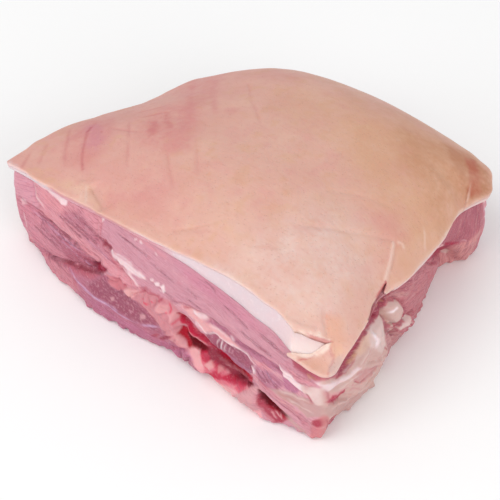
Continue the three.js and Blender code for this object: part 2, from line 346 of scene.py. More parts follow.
# places on the sheet are shares of its length and width
layers = dict(
    rind=2.5, fatThin=2.5, fatMiddle=4, fatThick=10, fatLean=4, gap=0.5,
    thickEnd=((0.48, 0.78), (0.05, 0.5)),  # the fat gets thick towards the right end of the front
    shortFace=((0.9, 1), (0.04, 0.14)),  # it is thin again along the short cut face
    corner=dict(along=(0.84, 0.98), thinner=0.9),
    leanEdge=0.1,
    cutEdge=dict(step=0.02, reach=0.1, upright=0.8),
    overhang=dict(front=0.8, right=5, back=5, left=2),
)


def rindPoint(u, v):
    edges = sheet["edges"]
    u, v = np.broadcast_arrays(np.asarray(u, float), np.asarray(v, float))
    front, back = curveAt(edges["front"], u), curveAt(edges["back"], u)
    left, right = curveAt(edges["left"], v), curveAt(edges["right"], v)
    p, q = u[..., None], v[..., None]
    corners = [np.array(edges[side][end], float) for side in ("front", "back") for end in (0, -1)]
    level = corners[0] * (1 - p) * (1 - q) + corners[1] * p * (1 - q)
    level = level + corners[2] * (1 - p) * q + corners[3] * p * q
    out = front * (1 - q) + back * q + left * (1 - p) + right * p - level
    out[..., 2] += sheet["dome"] * domeShare(u, v)
    return out


def domeShare(u, v):
    cu, cv = sheet["crest"]
    along = 1 - (np.abs(u - cu) / np.where(u < cu, cu, 1 - cu)) ** 2
    across = 1 - (np.abs(v - cv) / np.where(v < cv, cv, 1 - cv)) ** 2
    return np.maximum(along, 0) * np.maximum(across, 0) ** np.where(v < cv, 1, sheet["shoulder"])


def throughLayers(u, v):
    # square to the rind, but upright at the edges of the joint, where it was cut
    spec = layers["cutEdge"]
    step = spec["step"]
    along = rindPoint(np.minimum(u + step, 1), v) - rindPoint(np.maximum(u - step, 0), v)
    across = rindPoint(u, np.minimum(v + step, 1)) - rindPoint(u, np.maximum(v - step, 0))
    fromEdge = np.minimum(np.minimum(u, 1 - u), np.minimum(v, 1 - v))
    share = (spec["upright"] * (1 - ease(fromEdge, 0, spec["reach"])))[..., None]
    return unit(unit(np.cross(along, across)) * (1 - share) + upward * share)


def fatEnd(u, v):
    along, across = layers["thickEnd"]
    return ease(u, *along) * (1 - ease(v, *across))


def fatDepth(u, v):
    middle = 16 * u * (1 - u) * v * (1 - v)  # 1 in the middle and 0 at the edges
    along, across = layers["shortFace"]
    corner = layers["corner"]["thinner"] * ease(u, *layers["corner"]["along"])
    thick = layers["fatThick"] * fatEnd(u, v) * (1 - ease(u, *along) * ease(v, *across)) * (1 - corner)
    return layers["rind"] + layers["fatThin"] + layers["fatMiddle"] * middle + thick


def layerPoint(u, v, share):
    # from the rind's outer face, share 0, to the underside of the fat, share 1
    u, v = np.broadcast_arrays(np.asarray(u, float), np.asarray(v, float))
    out = rindPoint(u, v) - throughLayers(u, v) * (fatDepth(u, v) * share)[..., None]
    out[..., 1] -= layers["fatLean"] * fatEnd(u, v) * (1 - ease(v, 0, layers["leanEdge"])) * share
    return out


def fatUnderside(u, v):
    return layerPoint(u, v, np.ones(np.shape(u)))


def meatTop(u, v):
    over = layers["overhang"]
    length, width = sheet["size"]
    inU = over["left"] / length + u * (1 - (over["left"] + over["right"]) / length)
    inV = over["front"] / width + v * (1 - (over["front"] + over["back"]) / width)
    return fatUnderside(inU, inV) - throughLayers(inU, inV) * layers["gap"]


def roundCorners(u, v):
    # eases the sharp corners of the sheet into arcs
    u, v = np.broadcast_arrays(np.asarray(u, float), np.asarray(v, float))
    length, width = sheet["size"]
    nearU, nearV = np.minimum(u, 1 - u), np.minimum(v, 1 - v)
    radius = np.array(sheet["cornerRadius"], float)[(v >= 0.5).astype(int), (u >= 0.5).astype(int)]
    a, b = radius - nearU * length, radius - nearV * width
    inCorner = (a > 0) & (b > 0)
    pull = np.where(inCorner, np.maximum(a, b) / np.maximum(np.hypot(a, b), tiny), 1)
    newU = np.where(inCorner, (radius - a * pull) / length, nearU)
    newV = np.where(inCorner, (radius - b * pull) / width, nearV)
    return np.where(u < 0.5, newU, 1 - newU), np.where(v < 0.5, newV, 1 - newV)


def edgeLoop(along, across):
    # shares u and v all round the sheet, counter-clockwise from the front left corner
    a, b = np.arange(along) / along, np.arange(across) / across
    u = np.r_[a, np.ones(across), 1 - a, np.zeros(across)]
    v = np.r_[np.zeros(along), b, np.ones(along), 1 - b]
    return u, v


def capRings(u, v, pointAt, depths):
    # loops that close in on the middle of the sheet, and the point in the middle
    rings = [pointAt(0.5 + (u - 0.5) * (1 - depth), 0.5 + (v - 0.5) * (1 - depth)) for depth in depths]
    return rings + [pointAt(np.array([0.5]), np.array([0.5]))]


# the layout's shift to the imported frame, read from the rind's left and back reach
reached = rindPoint(*roundCorners(*edgeLoop(sheet["loop"], sheet["loop"])))
low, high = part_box("fat_layer")
shift = np.array([low.x / mm - reached[:, 0].min(), high.y / mm - reached[:, 1].max(), 0])
print("layout shift, mm:", shift.round(2).tolist())


# the rind: a skin of its own thickness with its cuts, creases and colours

def crease(rise, half, path, lip=0):
    return dict(rise=rise, half=half, path=path, lip=lip)


rindPiece = dict(
    along=300, across=250, thick=2.2, lip=4, lipBulge=0.15,
    capDepths=(0.04, 0.12, 0.25, 0.4, 0.55, 0.7, 0.85),
    ripple=[(40, 0.7), (15, 0.22), (6, 0.07)],  # lump size and height
    edgeLoop=(900, 700),
    wander=dict(most=0.7, reach=5, lump=9),  # of the edge, as cut by hand
    cuts=dict(  # a path in plan from the rind's edge inwards, with the gap at its open end
        slash=dict(
            path=[(102, -113), (103.5, -106), (107, -102), (114, -98.6), (123, -92.5)],
            gap=0.7, narrowing=1,
        ),
        slit=dict(
            path=[(130.7, -64.5), (127, -56.5), (124, -49.5), (121.6, -42.5), (120, -37.5)],
            gap=7.2, narrowing=1.1,
        ),
    ),
    blade=dict(steps=12, tip=0.12, foot=20, top=120),
    # the corner below the slash sags
    flap=dict(
        end=135, reach=27, most=1.2, bend=0.8, drop=11, forward=6.5, fold=9,
        fromX=(96, 101), toY=(-93, -88),
    ),
    creases=[  # rise, half width and path in plan
        crease(-0.6, 1.6, [(66, -57), (87, -40), (98, -27), (109, -14), (114, -11)]),
        crease(-1.0, 1.3, [(110, -80), (113, -87), (117, -90), (121, -93)]),
        crease(0.8, 1.4, [(100, -103), (109, -98.5), (115, -93.5), (113, -88)]),
        crease(-1.8, 4.5, [(-66, -88), (-54, -94), (-42, -102)]),
        crease(0.8, 3, [(-74, -88), (-69, -96), (-66, -101)]),
        crease(-0.5, 1.6, [(6, -98), (16, -91), (27, -85)]),
        crease(-0.4, 1.5, [(-14, -97), (-6, -98), (2, -101)]),
        crease(-0.35, 2.2, [(60, -25), (78, -8), (96, 2)]),
        crease(-0.9, 0.8, [(118, -31), (115.5, -25), (109.5, -14)]),
        crease(0.8, 0.9, [(120, -40), (114.2, -26), (107.8, -14)], lip=0.6),
        crease(0.4, 0.9, [(109.5, -14), (112, -11.5), (114.5, -12.5)], lip=0.4),
    ],
    creaseTip=0.15, creaseFade=0.8,
    scoreDepth=0.25,
    farStep=dict(  # the far corner hangs lower
        path=[(100, 84), (104, 75), (107, 67), (111.5, 58)], drop=1.7, edge=(-0.8, 0.2), along=(0.25, 0.75),
        fromX=(80, 95), fromY=(50, 60),
    ),
    slitStep=dict(  # so does one side of the slit
        path=[(115.5, -25), (119, -33), (123, -41), (128, -50)], drop=2.2, reach=13, along=(0.2, 0.7),
    ),
)
rindColours = dict(
    middle=(220, 172, 157), lean=(218, 161, 152), greyPink=(212, 156, 149), gold=(215, 166, 138),
    deepGold=(203, 150, 119), amber=(190, 132, 101), rust=(182, 104, 80), greyGold=(205, 153, 132),
    pale=(225, 198, 190), rose=(223, 170, 157), tan=(223, 177, 151), blush=(212, 142, 138),
    magenta=(206, 134, 147), blushDeep=(204, 124, 124), score=(190, 88, 98), scoreDeep=(180, 70, 88),
    cream=(232, 196, 172), crease=(190, 132, 114), lilac=(226, 202, 206), rosyTip=(222, 160, 140),
    bareFat=(203, 172, 165), flapTan=(208, 154, 134), lip=(240, 216, 204), cutSide=(226, 198, 198),
    rawEdge=(206, 150, 150),
)
# marks on the skin, in pixels of the photograph
rindMarks = [
    # broad colour: grey along the far rim, painted shade where the rind turns away from the light, gold
    # towards the right and pale above the fat band
    patch("greyPink", 0.4, 8, [(60, 130), (100, 113), (150, 98), (200, 73), (250, 68), (300, 73), (300, 82),
        (250, 78), (205, 86), (160, 112), (110, 126), (70, 142)]),
    patch("gold", 0.95, 16, [(345, 120), (400, 118), (440, 140), (462, 170), (455, 205), (430, 245),
        (405, 268), (398, 215), (370, 190), (350, 160)]),
    patch("deepGold", 0.85, 12, [(395, 125), (440, 140), (475, 158), (470, 200), (440, 228), (425, 190),
        (400, 160)]),
    patch("amber", 0.95, 6, [(445, 144), (470, 155), (490, 175), (492, 198), (470, 200), (460, 180)]),
    patch("rust", 1, 2, [(466, 158), (476, 160), (481, 178), (480, 197), (468, 197), (470, 180)]),
    patch("greyGold", 0.45, 6, [(340, 88), (380, 102), (430, 126), (452, 142), (420, 137), (380, 120),
        (350, 108)]),
    patch("gold", 0.4, 10, [(268, 92), (310, 88), (350, 100), (385, 118), (372, 150), (330, 140),
        (290, 128)]),
    # painted light: the rind made paler where it faces the light
    patch("pale", 0.62, 26, [(240, 248), (290, 224), (330, 206), (356, 236), (364, 280), (346, 306),
        (332, 330), (292, 330), (254, 290), (236, 268)]),
    patch("rose", 0.15, 12, [(300, 150), (340, 150), (372, 180), (360, 205), (320, 200), (296, 180)]),
    patch("rose", 0.3, 7, [(215, 105), (245, 102), (262, 118), (240, 126), (220, 120)]),
    patch("tan", 0.5, 6, [(26, 170), (60, 180), (90, 188), (66, 190), (38, 180)]),
    patch("blush", 0.75, 9, [(140, 118), (165, 106), (195, 104), (196, 128), (190, 148), (165, 152),
        (142, 146)]),
    # red blotches and the streaks that scraping has left
    patch("lean", 0.9, 14, [(90, 165), (150, 150), (185, 185), (165, 225), (120, 206), (96, 188)]),
    # a red blush that is also painted shade, darkening the rind where it faces the main lamp
    patch("blush", 0.4, 12, [(96, 165), (140, 160), (165, 190), (140, 214), (112, 200)]),
    patch("blush", 0.6, 7, [(66, 132), (84, 122), (104, 116), (112, 130), (104, 152), (84, 168), (68, 164)]),
    patch("blush", 0.55, 6, [(176, 88), (200, 76), (220, 74), (222, 92), (205, 104), (186, 112)]),
    patch("rose", 0.5, 8, [(168, 196), (192, 190), (200, 212), (186, 238), (168, 236)]),
    patch("rose", 0.4, 10, [(98, 158), (130, 150), (150, 170), (130, 196), (104, 190)]),
    patch("magenta", 0.55, 5, [(86, 126), (98, 124), (106, 132), (104, 144), (94, 150), (86, 146)]),
    patch("blush", 0.6, 4, [(104, 122), (114, 117), (116, 126), (108, 132)]),
    patch("blush", 0.4, 2, [(50, 148), (56, 146), (56, 153), (52, 155)]),
    patch("blush", 0.4, 2, [(60, 150), (66, 150), (66, 158), (60, 158)]),
    patch("blushDeep", 0.8, 3, [(148, 130), (154, 121), (159, 125), (156, 134), (149, 137)]),
    patch("blushDeep", 0.8, 3, [(163, 116), (168, 112), (172, 117), (170, 128), (165, 125)]),
    patch("blush", 0.45, 6, [(165, 128), (182, 128), (186, 146), (172, 150), (164, 142)]),
    patch("blush", 0.35, 3, [(224, 110), (230, 107), (238, 109), (232, 114)]),
    patch("magenta", 0.18, 3, [(264, 142), (270, 142), (270, 148), (265, 148)]),
    patch("blush", 0.4, 4, [(100, 198), (112, 192), (122, 196), (115, 210), (106, 212)]),
    patch("blush", 0.4, 6, [(372, 210), (395, 214), (410, 236), (398, 246), (380, 238)]),
    streak("blush", 0.7, 3.2, [(194, 79), (190, 100), (191, 126)]),
    streak("blush", 0.6, 2.4, [(217, 76), (213, 90), (215, 113)]),
    streak("blushDeep", 0.6, 2, [(168, 92), (175, 88), (182, 83)]),
    streak("blush", 0.35, 4, [(192, 196), (184, 212), (176, 232)]),
    streak("score", 0.62, 1.0, [(96, 123), (88, 132), (84, 145), (82, 157), (82, 170)]),
    patch("scoreDeep", 0.6, 0.8, [(86, 133), (89, 127), (91, 128), (89, 133)]),
    patch("scoreDeep", 0.5, 0.7, [(81, 163), (83, 163), (83, 169), (82, 169)]),
    patch("score", 0.6, 0.7, [(101, 131), (103, 131), (103, 134), (101, 134)]),
    streak("score", 0.3, 1.4, [(71, 128), (66, 147), (65, 165)]),
    streak("score", 0.22, 1.4, [(48, 142), (42, 156), (38, 166)]),
    streak("score", 0.35, 1.4, [(31, 152), (26, 160), (21, 169)]),
    streak("score", 0.26, 1.3, [(130, 119), (128, 145), (127, 166)]),
    streak("score", 0.25, 1.2, [(110, 128), (124, 130), (140, 132)]),
    streak("score", 0.18, 1.2, [(250, 97), (255, 108), (262, 126)]),
    streak("score", 0.16, 1.2, [(247, 82), (250, 92), (252, 98)]),
    streak("score", 0.2, 1.2, [(167, 150), (170, 172), (174, 188)]),
    streak("score", 0.18, 1.2, [(197, 146), (197, 160), (198, 173)]),
    streak("score", 0.3, 0.8, [(136, 113), (150, 110), (168, 106)]),
    streak("score", 0.3, 0.8, [(140, 118), (155, 115), (172, 112)]),
    streak("score", 0.3, 0.8, [(132, 108), (145, 106), (158, 101)]),
    # creases, pale ridges and the corners
    # a painted highlight in the dip of the crease at the front edge
    patch("cream", 0.35, 2.5, [(70, 188), (82, 184), (92, 186), (98, 200), (100, 206), (88, 204),
        (78, 200)]),
    streak("pale", 0.6, 0.8, [(86, 184), (86, 195), (85, 204)]),
    streak("pale", 0.4, 0.8, [(82, 190), (81, 196), (80, 201)]),
    streak("crease", 0.6, 0.9, [(88, 183), (95, 195), (104, 210)]),
    patch("lilac", 0.8, 2, [(4, 163), (10, 160), (20, 170), (24, 175), (14, 172)]),
    streak("crease", 0.35, 0.9, [(168, 231), (190, 229), (216, 224)]),
    streak("crease", 0.28, 0.8, [(248, 248), (264, 248), (282, 251)]),
    streak("crease", 0.5, 0.8, [(326, 313), (328, 326), (330, 338)]),
    patch("rosyTip", 0.6, 3, [(326, 316), (340, 318), (345, 340), (338, 350), (331, 344)]),
    patch("tan", 0.8, 2, [(331, 346), (342, 346), (348, 352), (336, 358)]),
    patch("tan", 0.4, 3, [(328, 320), (345, 318), (349, 344), (336, 354), (330, 344)]),
    patch("bareFat", 0.95, 0.6, [(333, 358), (338, 354), (347, 352), (343, 362), (338, 374), (335, 381),
        (326, 382), (329, 372)]),
    streak("score", 0.45, 0.6, [(328, 343), (331, 350), (334, 358), (330, 370), (327, 380)]),
    patch("lip", 0.8, 0.7, [(316, 344), (328, 344), (331, 351), (322, 354), (312, 354)]),
    patch("flapTan", 0.6, 3, [(298, 358), (312, 356), (324, 356), (324, 370), (318, 380), (306, 370)]),
    streak("pale", 0.7, 3, [(205, 261), (225, 273), (240, 287), (262, 309), (284, 331)]),
    streak("score", 0.75, 0.7, [(301, 338), (312, 340), (329, 342)]),
    patch("lip", 0.8, 1.2, [(290, 352), (300, 353), (312, 352), (322, 350), (328, 346), (329, 349),
        (322, 354), (310, 357), (296, 357)]),
    streak("lip", 0.5, 0.7, [(471, 183), (468, 196), (462, 209), (450, 228), (440, 244)]),
    streak("lip", 0.45, 0.6, [(424, 228), (425, 240), (425, 252)]),
]


def rindMesh():
    spec = rindPiece
    along, across, lip = spec["along"], spec["across"], spec["lip"]
    gridU, gridV = np.meshgrid(np.linspace(0, 1, along + 1), np.linspace(0, 1, across + 1), indexing="ij")
    gridU, gridV = roundCorners(gridU, gridV)
    upside = rindPoint(gridU.ravel(), gridV.ravel())
    number = np.arange(len(upside)).reshape(along + 1, across + 1)
    quads = np.stack([number[:-1, :-1], number[1:, :-1], number[1:, 1:], number[:-1, 1:]], -1)
    u, v = edgeLoop(along, across)
    rim = number[np.rint(u * along).astype(int), np.rint(v * across).astype(int)]
    u, v = roundCorners(u, v)
    outward = outwardOf(rindPoint(u, v))

    def skin(a, b, share=1):
        return rindPoint(a, b) - throughLayers(a, b) * spec["thick"] * share

    shares = np.arange(1, lip + 1) / lip
    rings = [skin(u, v, t) + outward * spec["lipBulge"] * math.sin(math.pi * t) for t in shares]
    points, faces = joinRings(rings + capRings(u, v, skin, spec["capDepths"]), rim, number.size)
    below = np.r_[np.zeros(number.size), np.repeat(shares, len(u)), np.ones(len(points) - lip * len(u))]
    return np.concatenate([upside, points]), quads.reshape(-1, 4).tolist() + faces, below


def cutBlade(cut):
    # a standing blade along a cut's path, as wide as the gap at its open end and sharp at its other
    spec = rindPiece["blade"]
    steps = spec["steps"]
    middle = curveAt(cut["path"], np.linspace(0, 1, steps))
    way = unit(np.gradient(middle, axis=0))
    across = np.c_[-way[:, 1], way[:, 0]]
    half = 0.5 * cut["gap"] * np.linspace(1, spec["tip"], steps)[:, None] ** cut["narrowing"]
    outline = np.vstack([middle + across * half, (middle - across * half)[::-1]])
    count = len(outline)
    points = np.vstack([np.c_[outline, np.full(count, float(spec[end]))] for end in ("foot", "top")])
    ring = np.arange(count)
    faces = bandFaces(ring, ring + count)
    for a in range(steps - 1):
        b = count - 1 - a
        faces.append([a, a + 1, b - 1, b])
        faces.append([count + b, count + b - 1, count + a + 1, count + a])
    return makeObject("blade", points + shift, faces)


def cutOut(target, blade):
    # takes the blade's shape out of the target and throws the blade away
    modifier = target.modifiers.new("cut", "BOOLEAN")
    modifier.operation = "DIFFERENCE"
    modifier.solver = "EXACT"
    modifier.object = blade
    shaped = target.evaluated_get(bpy.context.evaluated_depsgraph_get())
    result = bpy.data.meshes.new_from_object(shaped)
    target.modifiers.clear()
    old = target.data
    target.data = result
    bpy.data.meshes.remove(old)
    bpy.data.objects.remove(blade, do_unlink=True)


def pointsOf(made):
    flat = np.empty(3 * len(made.data.vertices), np.float32)
    made.data.vertices.foreach_get("co", flat)
    return flat.reshape(-1, 3).astype(float) / mm - shift


def setPoints(made, points):
    flat = ((points + shift) * mm).astype(np.float32)
    made.data.vertices.foreach_set("co", flat.ravel())
    made.data.update()


def rindRelief(places, points):
    # height added to the skin, and where a raised lip is pale
    spec = rindPiece
    rise = lumpy(points, spec["ripple"], seed=11)
    lips = np.zeros(len(places))
    for item in spec["creases"]:
        gap, share, _ = alongPath(places, item["path"])
        fold = bell(gap, item["half"]) * fadeEnds(share, spec["creaseTip"], spec["creaseFade"])
        rise = rise + item["rise"] * fold
        lips = np.maximum(lips, item["lip"] * fold)
    for mark in rindMarks:
        if mark["colour"] == "score":
            rise = rise - spec["scoreDepth"] * markWeight(mark, places, 0 * rise)
    step = spec["farStep"]
    gap, share, side = alongPath(places, step["path"])
    corner = ease(places[:, 0], *step["fromX"]) * ease(places[:, 1], *step["fromY"])
    lower = (1 - ease(np.where(side < 0, -gap, gap), *step["edge"])) * corner * ease(share, *step["along"])
    rise = rise - step["drop"] * lower
    step = spec["slitStep"]
    gap, share, side = alongPath(places, step["path"])
    return rise - step["drop"] * (side > 0) * ease(share, *step["along"]) * bell(gap, step["reach"]), lips


rindPaint = dict(
    # lumps, as size and height, and their seed
    torn=([(5, 0.6), (2, 0.4)], 23), patchy=([(22, 0.5), (7, 0.5)], 21),
    fine=([(1.9, 1)], 25), mottle=([(8, 0.6), (3.2, 0.4)], 26),
    uneven=(0.9, 0.4),
    leanX=(-100, 5),  # rosier towards the left end
    goldX=(10, 90), goldY=(-60, 40), goldTint=0.5,
    mottled=(0.05, 0.6), mottleTint=0.5,
    broadFrom=1.5,  # softer marks than this are blotchy
    blotchy=(0.6, 0.35), scratchy=(0.8, 0.5), tearing=4,
)


def rindTint(points, places):
    spec = rindPaint
    x, y = places.T
    names = ("torn", "patchy", "fine", "mottle")
    torn, patchy, fine, mottle = (lumpy(points, *spec[name]) for name in names)
    uneven = spec["uneven"][0] + spec["uneven"][1] * patchy
    gold = spec["goldTint"] * ease(x, *spec["goldX"]) * ease(y, *spec["goldY"])
    tint = coated(
        len(x), rindColours, "middle",
        ("lean", (1 - ease(x, *spec["leanX"])) * uneven), ("gold", gold * uneven),
        ("gold", spec["mottleTint"] * ease(mottle, *spec["mottled"])),
        ("lean", spec["mottleTint"] * ease(-mottle, *spec["mottled"])),
    )
    blotchy = 1 + spec["blotchy"][0] * patchy + spec["blotchy"][1] * fine
    scratchy = spec["scratchy"][0] + spec["scratchy"][1] * torn
    for mark in rindMarks:
        weight = mark["tint"] * (blotchy if mark["soft"] > spec["broadFrom"] else scratchy)
        weight = weight * markWeight(mark, places, spec["tearing"] * torn)
        tint = mixTint(tint, rindColours[mark["colour"]], weight)
    return tint


rimPaint = dict(
    lipTint=0.2, lipReach=0.8,  # the upper edge is pale
    frontX=(96, 106), frontY=(-92, -84),  # where the long cut face ends
    bareX=((-96, -88), (-24, -10)),  # between these the skin lies straight on the meat
    side=(0.1, 0.5), sideTint=0.3, frontTint=0.6, bareLess=0.9, bareTint=0.8,
    redEnd=(0.5, 0.65),  # both cuts are red along their inner ends
    slashReach=(0.5, 1), slashTint=0.65, wallReach=(0.1, 0.6), wallTint=0.8,
)


def rimTint(tint, places, below, fromEdge):
    # the edge of the skin, its cut side and the red in its two cuts
    spec = rimPaint
    x, y = places.T
    slash, slit = rindPiece["cuts"]["slash"], rindPiece["cuts"]["slit"]
    bareStart, bareEnd = spec["bareX"]
    front = (1 - ease(y, *spec["frontY"])) * (1 - ease(x, *spec["frontX"]))
    bare = ease(x, *bareStart) * (1 - ease(x, *bareEnd)) * front
    side = ease(below, *spec["side"])
    pale = (spec["sideTint"] + spec["frontTint"] * front) * (1 - spec["bareLess"] * bare)
    tint = mixTint(tint, rindColours["lip"], spec["lipTint"] * bell(fromEdge, spec["lipReach"]))
    tint = mixTint(tint, rindColours["cutSide"], pale * side)
    tint = mixTint(tint, rindColours["rawEdge"], spec["bareTint"] * bare * side)
    gap, share, hand = alongPath(places, slash["path"])
    red = (hand > 0) * (1 - ease(gap, *spec["slashReach"])) * ease(share, *spec["redEnd"])
    tint = mixTint(tint, rindColours["score"], spec["slashTint"] * red)
    gap, share, _ = alongPath(places, slit["path"])
    wall = gap - 0.5 * slit["gap"] * (1 - (1 - rindPiece["blade"]["tip"]) * share) ** slit["narrowing"]
    red = (1 - ease(wall, *spec["wallReach"])) * ease(share, *spec["redEnd"])
    return mixTint(tint, rindColours["score"], spec["wallTint"] * red)


def flapShift(places, below):
    # how far the corner under the slash hangs down and stands forward
    flap = rindPiece["flap"]
    x, y = places.T
    away = np.clip((flap["end"] - x) / flap["reach"], 0, flap["most"]) ** flap["bend"]
    near = ease(x, *flap["fromX"]) * (1 - ease(y, *flap["toY"]))
    fromFold = np.hypot(*(places - np.array(rindPiece["cuts"]["slash"]["path"][-1])).T)
    sag = below * near * away * ease(fromFold, 0, flap["fold"])
    return flap["drop"] * sag, flap["forward"] * sag


def sagFlap(points, places):
    # what lies below the slash moves with the flap
    _, _, side = alongPath(places, rindPiece["cuts"]["slash"]["path"])
    drop, forward = flapShift(places, side < 0)
    points[:, 2] -= drop
    points[:, 1] -= forward


def pinRindMarks():
    # on the sheet with its sagging flap
    spec = rindPiece
    u, v = np.meshgrid(np.linspace(0, 1, spec["along"]), np.linspace(0, 1, spec["across"]), indexing="ij")
    points = rindPoint(u.ravel(), v.ravel())
    places = points[:, :2].copy()
    sagFlap(points, places)
    return pinMarks(rindMarks, points, places)


rindMarks = pinRindMarks()


def buildRind():
    spec = rindPiece
    points, faces, below = rindMesh()
    rind = makeObject("rind", points + shift, faces, below=below)
    for cut in spec["cuts"].values():
        cutOut(rind, cutBlade(cut))
    points = pointsOf(rind)
    places = points[:, :2].copy()
    below = np.zeros(len(points), np.float32)
    rind.data.attributes["below"].data.foreach_get("value", below)
    edge = flatTree(rindPoint(*roundCorners(*edgeLoop(*spec["edgeLoop"])))[:, :2])
    fromEdge = np.array([edge.find((x, y, 0))[2] for x, y in places])
    rise, lips = rindRelief(places, points)
    tint = mixTint(rindTint(points, places), rindColours["lip"], lips)
    tint = rimTint(tint, places, below, fromEdge)
    wander = spec["wander"]
    for axis, seed in ((0, 31), (1, 32)):
        move = wander["most"] * bell(fromEdge, wander["reach"]) * softNoise(points, wander["lump"], seed)
        points[:, axis] += move
    points[:, 2] += rise
    sagFlap(points, places)
    setPoints(rind, points)
    putValue(rind.data, "tint", tint)
    smoothFaces(rind.data)
    print("rind:", len(rind.data.polygons), "faces")
    return rind


# the fat under the rind

fatPiece = dict(
    along=270, across=220, lip=12, swell=1.1, fullDepth=10, inset=0.5,
    top=0.96,  # starts just inside the skin, as a share of its thickness
    drawnBack=dict(most=6, along=(0.9, 0.96), across=(0.1, 0.2)),  # behind the sagging corner
    lowDepths=(0.05, 0.2, 0.4, 0.6, 0.8),
    topDepths=(*np.linspace(0.008, 0.2, 24), 0.3, 0.45, 0.6, 0.8),  # close together under the flap
    sunk=0.25, forward=0.5,
    slope=(-1.0, 6.0),  # under the slash the fat slopes down from the rind to the sagging flap
    lumps=dict(size=13, rise=0.35, way=(0.4, 1, 0.3)),
)
fatColours = dict(
    white=(213, 193, 198), pink=(206, 138, 150), cream=(238, 220, 214), warm=(226, 192, 186),
    stained=(150, 60, 72),
)
fatPaint = dict(
    thinX=((-96, -88), (0, 24)), thinY=-80, thinTint=0.85,  # pink where the band is thin
    warmLean=0.2, warmFrom=(60, 110), warmTint=0.8,
    grooveX=(95, 104), grooveTint=0.6,
    slitReach=(3, 6), slitTint=0.9,
)


def fatTop(u, v):
    # how deep in the layers the fat starts
    return rindPiece["thick"] * fatPiece["top"] / fatDepth(u, v)


def fatTint(points, places, slope):
    spec = fatPaint
    x, y, _ = points.T
    thinStart, thinEnd = spec["thinX"]
    thin = ease(x, *thinStart) * (1 - ease(x, *thinEnd)) * (y < spec["thinY"])
    groove = slope * (1 - slope) * 4 * ease(places[:, 0], *spec["grooveX"])  # 1 halfway down the slope
    gap, _, _ = alongPath(places, rindPiece["cuts"]["slit"]["path"])
    return coated(
        len(points), fatColours, "white",
        ("pink", spec["thinTint"] * thin),
        ("warm", spec["warmTint"] * ease(x + spec["warmLean"] * y, *spec["warmFrom"])),
        ("cream", spec["grooveTint"] * groove),
        ("stained", spec["slitTint"] * (1 - ease(gap, *spec["slitReach"]))),
    )


def buildFat():
    spec = fatPiece
    u, v = roundCorners(*edgeLoop(spec["along"], spec["across"]))
    edge = rindPoint(u, v)
    outward = outwardOf(edge)
    back = spec["drawnBack"]
    inset = spec["inset"] + back["most"] * ease(u, *back["along"]) * (1 - ease(v, *back["across"]))
    deep = np.minimum(fatDepth(u, v) / spec["fullDepth"], 1)
    shares = np.arange(spec["lip"] + 1) / spec["lip"]
    rings = []
    for t in shares:
        ring = layerPoint(u, v, fatTop(u, v) + (1 - fatTop(u, v)) * t)
        rings.append(ring + outward * (spec["swell"] * math.sin(math.pi * t) * deep - inset)[:, None])

    def upside(a, b):
        return layerPoint(a, b, fatTop(a, b))

    count = len(u)
    first = np.arange(count)
    rings += capRings(u, v, fatUnderside, spec["lowDepths"])
    lowPoints, faces = joinRings(rings[1:], first, count)
    base = np.concatenate([rings[0], lowPoints])
    topPoints, topFaces = joinRings(capRings(u, v, upside, spec["topDepths"]), first, len(base))
    faces += [face[::-1] for face in topFaces]  # the upper cap faces the other way
    points = np.concatenate([base, topPoints])
    places = points[:, :2].copy()
    # the upper face follows the skin's relief, and the side follows its flap less and less
    under = (edge[:, 2].min() < points[:, 2]) * 1.0
    under[count:len(base)] = 0
    level = np.ones(len(points))
    level[:len(base)] = 0
    level[:count * len(shares)] = np.repeat(1 - shares, count)
    points[:, 2] += under * rindRelief(places, points)[0] - spec["sunk"] * under
    gap, _, side = alongPath(places, rindPiece["cuts"]["slash"]["path"])
    slope = ease(-side * gap, *spec["slope"])
    drop, forward = flapShift(places, slope)
    points[:, 2] -= drop * level
    points[:, 1] -= spec["forward"] * forward * level
    lumps = spec["lumps"]
    points += lumps["rise"] * softNoise(points, lumps["size"], seed=41)[:, None] * np.array(lumps["way"])
    fat = makeObject("backFat", points + shift, faces, tint=fatTint(points, places, slope))
    print("back fat:", len(fat.data.polygons), "faces")
    return fat


# the lean block: cut faces with their muscles, seams, clefts and lumps of fat

meatPiece = dict(
    foot=dict(
        front=[
            (-132, -92), (-81, -111), (-39, -118), (0, -116),
            (48, -112), (91, -119), (108, -115), (134, -110),
        ],
        right=[
            (134, -110), (127, -97), (129, -82), (130, -66), (126, -48), (121, -28),
            (117, -8), (112, 14), (105, 32), (98, 54), (110, 69), (109, 86),
        ],
        back=[(-98, 82), (-54, 102), (2, 111), (56, 112), (92, 103), (109, 86)],
        left=[(-132, -92), (-129, -50), (-121, -15), (-111, 20), (-103, 52), (-98, 82)],
    ),
    columns=dict(front=372, right=250, back=96, left=84), rows=108,
    topDepths=(0.06, 0.2, 0.4, 0.6, 0.8), footDepths=(0.03, 0.08, 0.16, 0.28, 0.42, 0.58, 0.76),
    swell=3, topEdge=0.05, footRound=5, footSwell=0.5,
    cornerTurn=14, cornerRound=7, cornerLead=2, cornerShare=0.02, cornerTip=0.035,
    torn=[(5, 0.7), (2, 0.3)],  # lump size and height, as in the next two
    lumps=[(15, 0.8), (6.5, 0.4), (2.8, 0.16)],
    ragged=[(8, 2.5), (3, 1.8)], raggedHigh=0.25, raggedFrom=(0.02, 0.5),  # the torn foot
    fibreRise=0.25, fibreLong=0.6, fatLump=0.55, fatLumpSize=3.4,
)
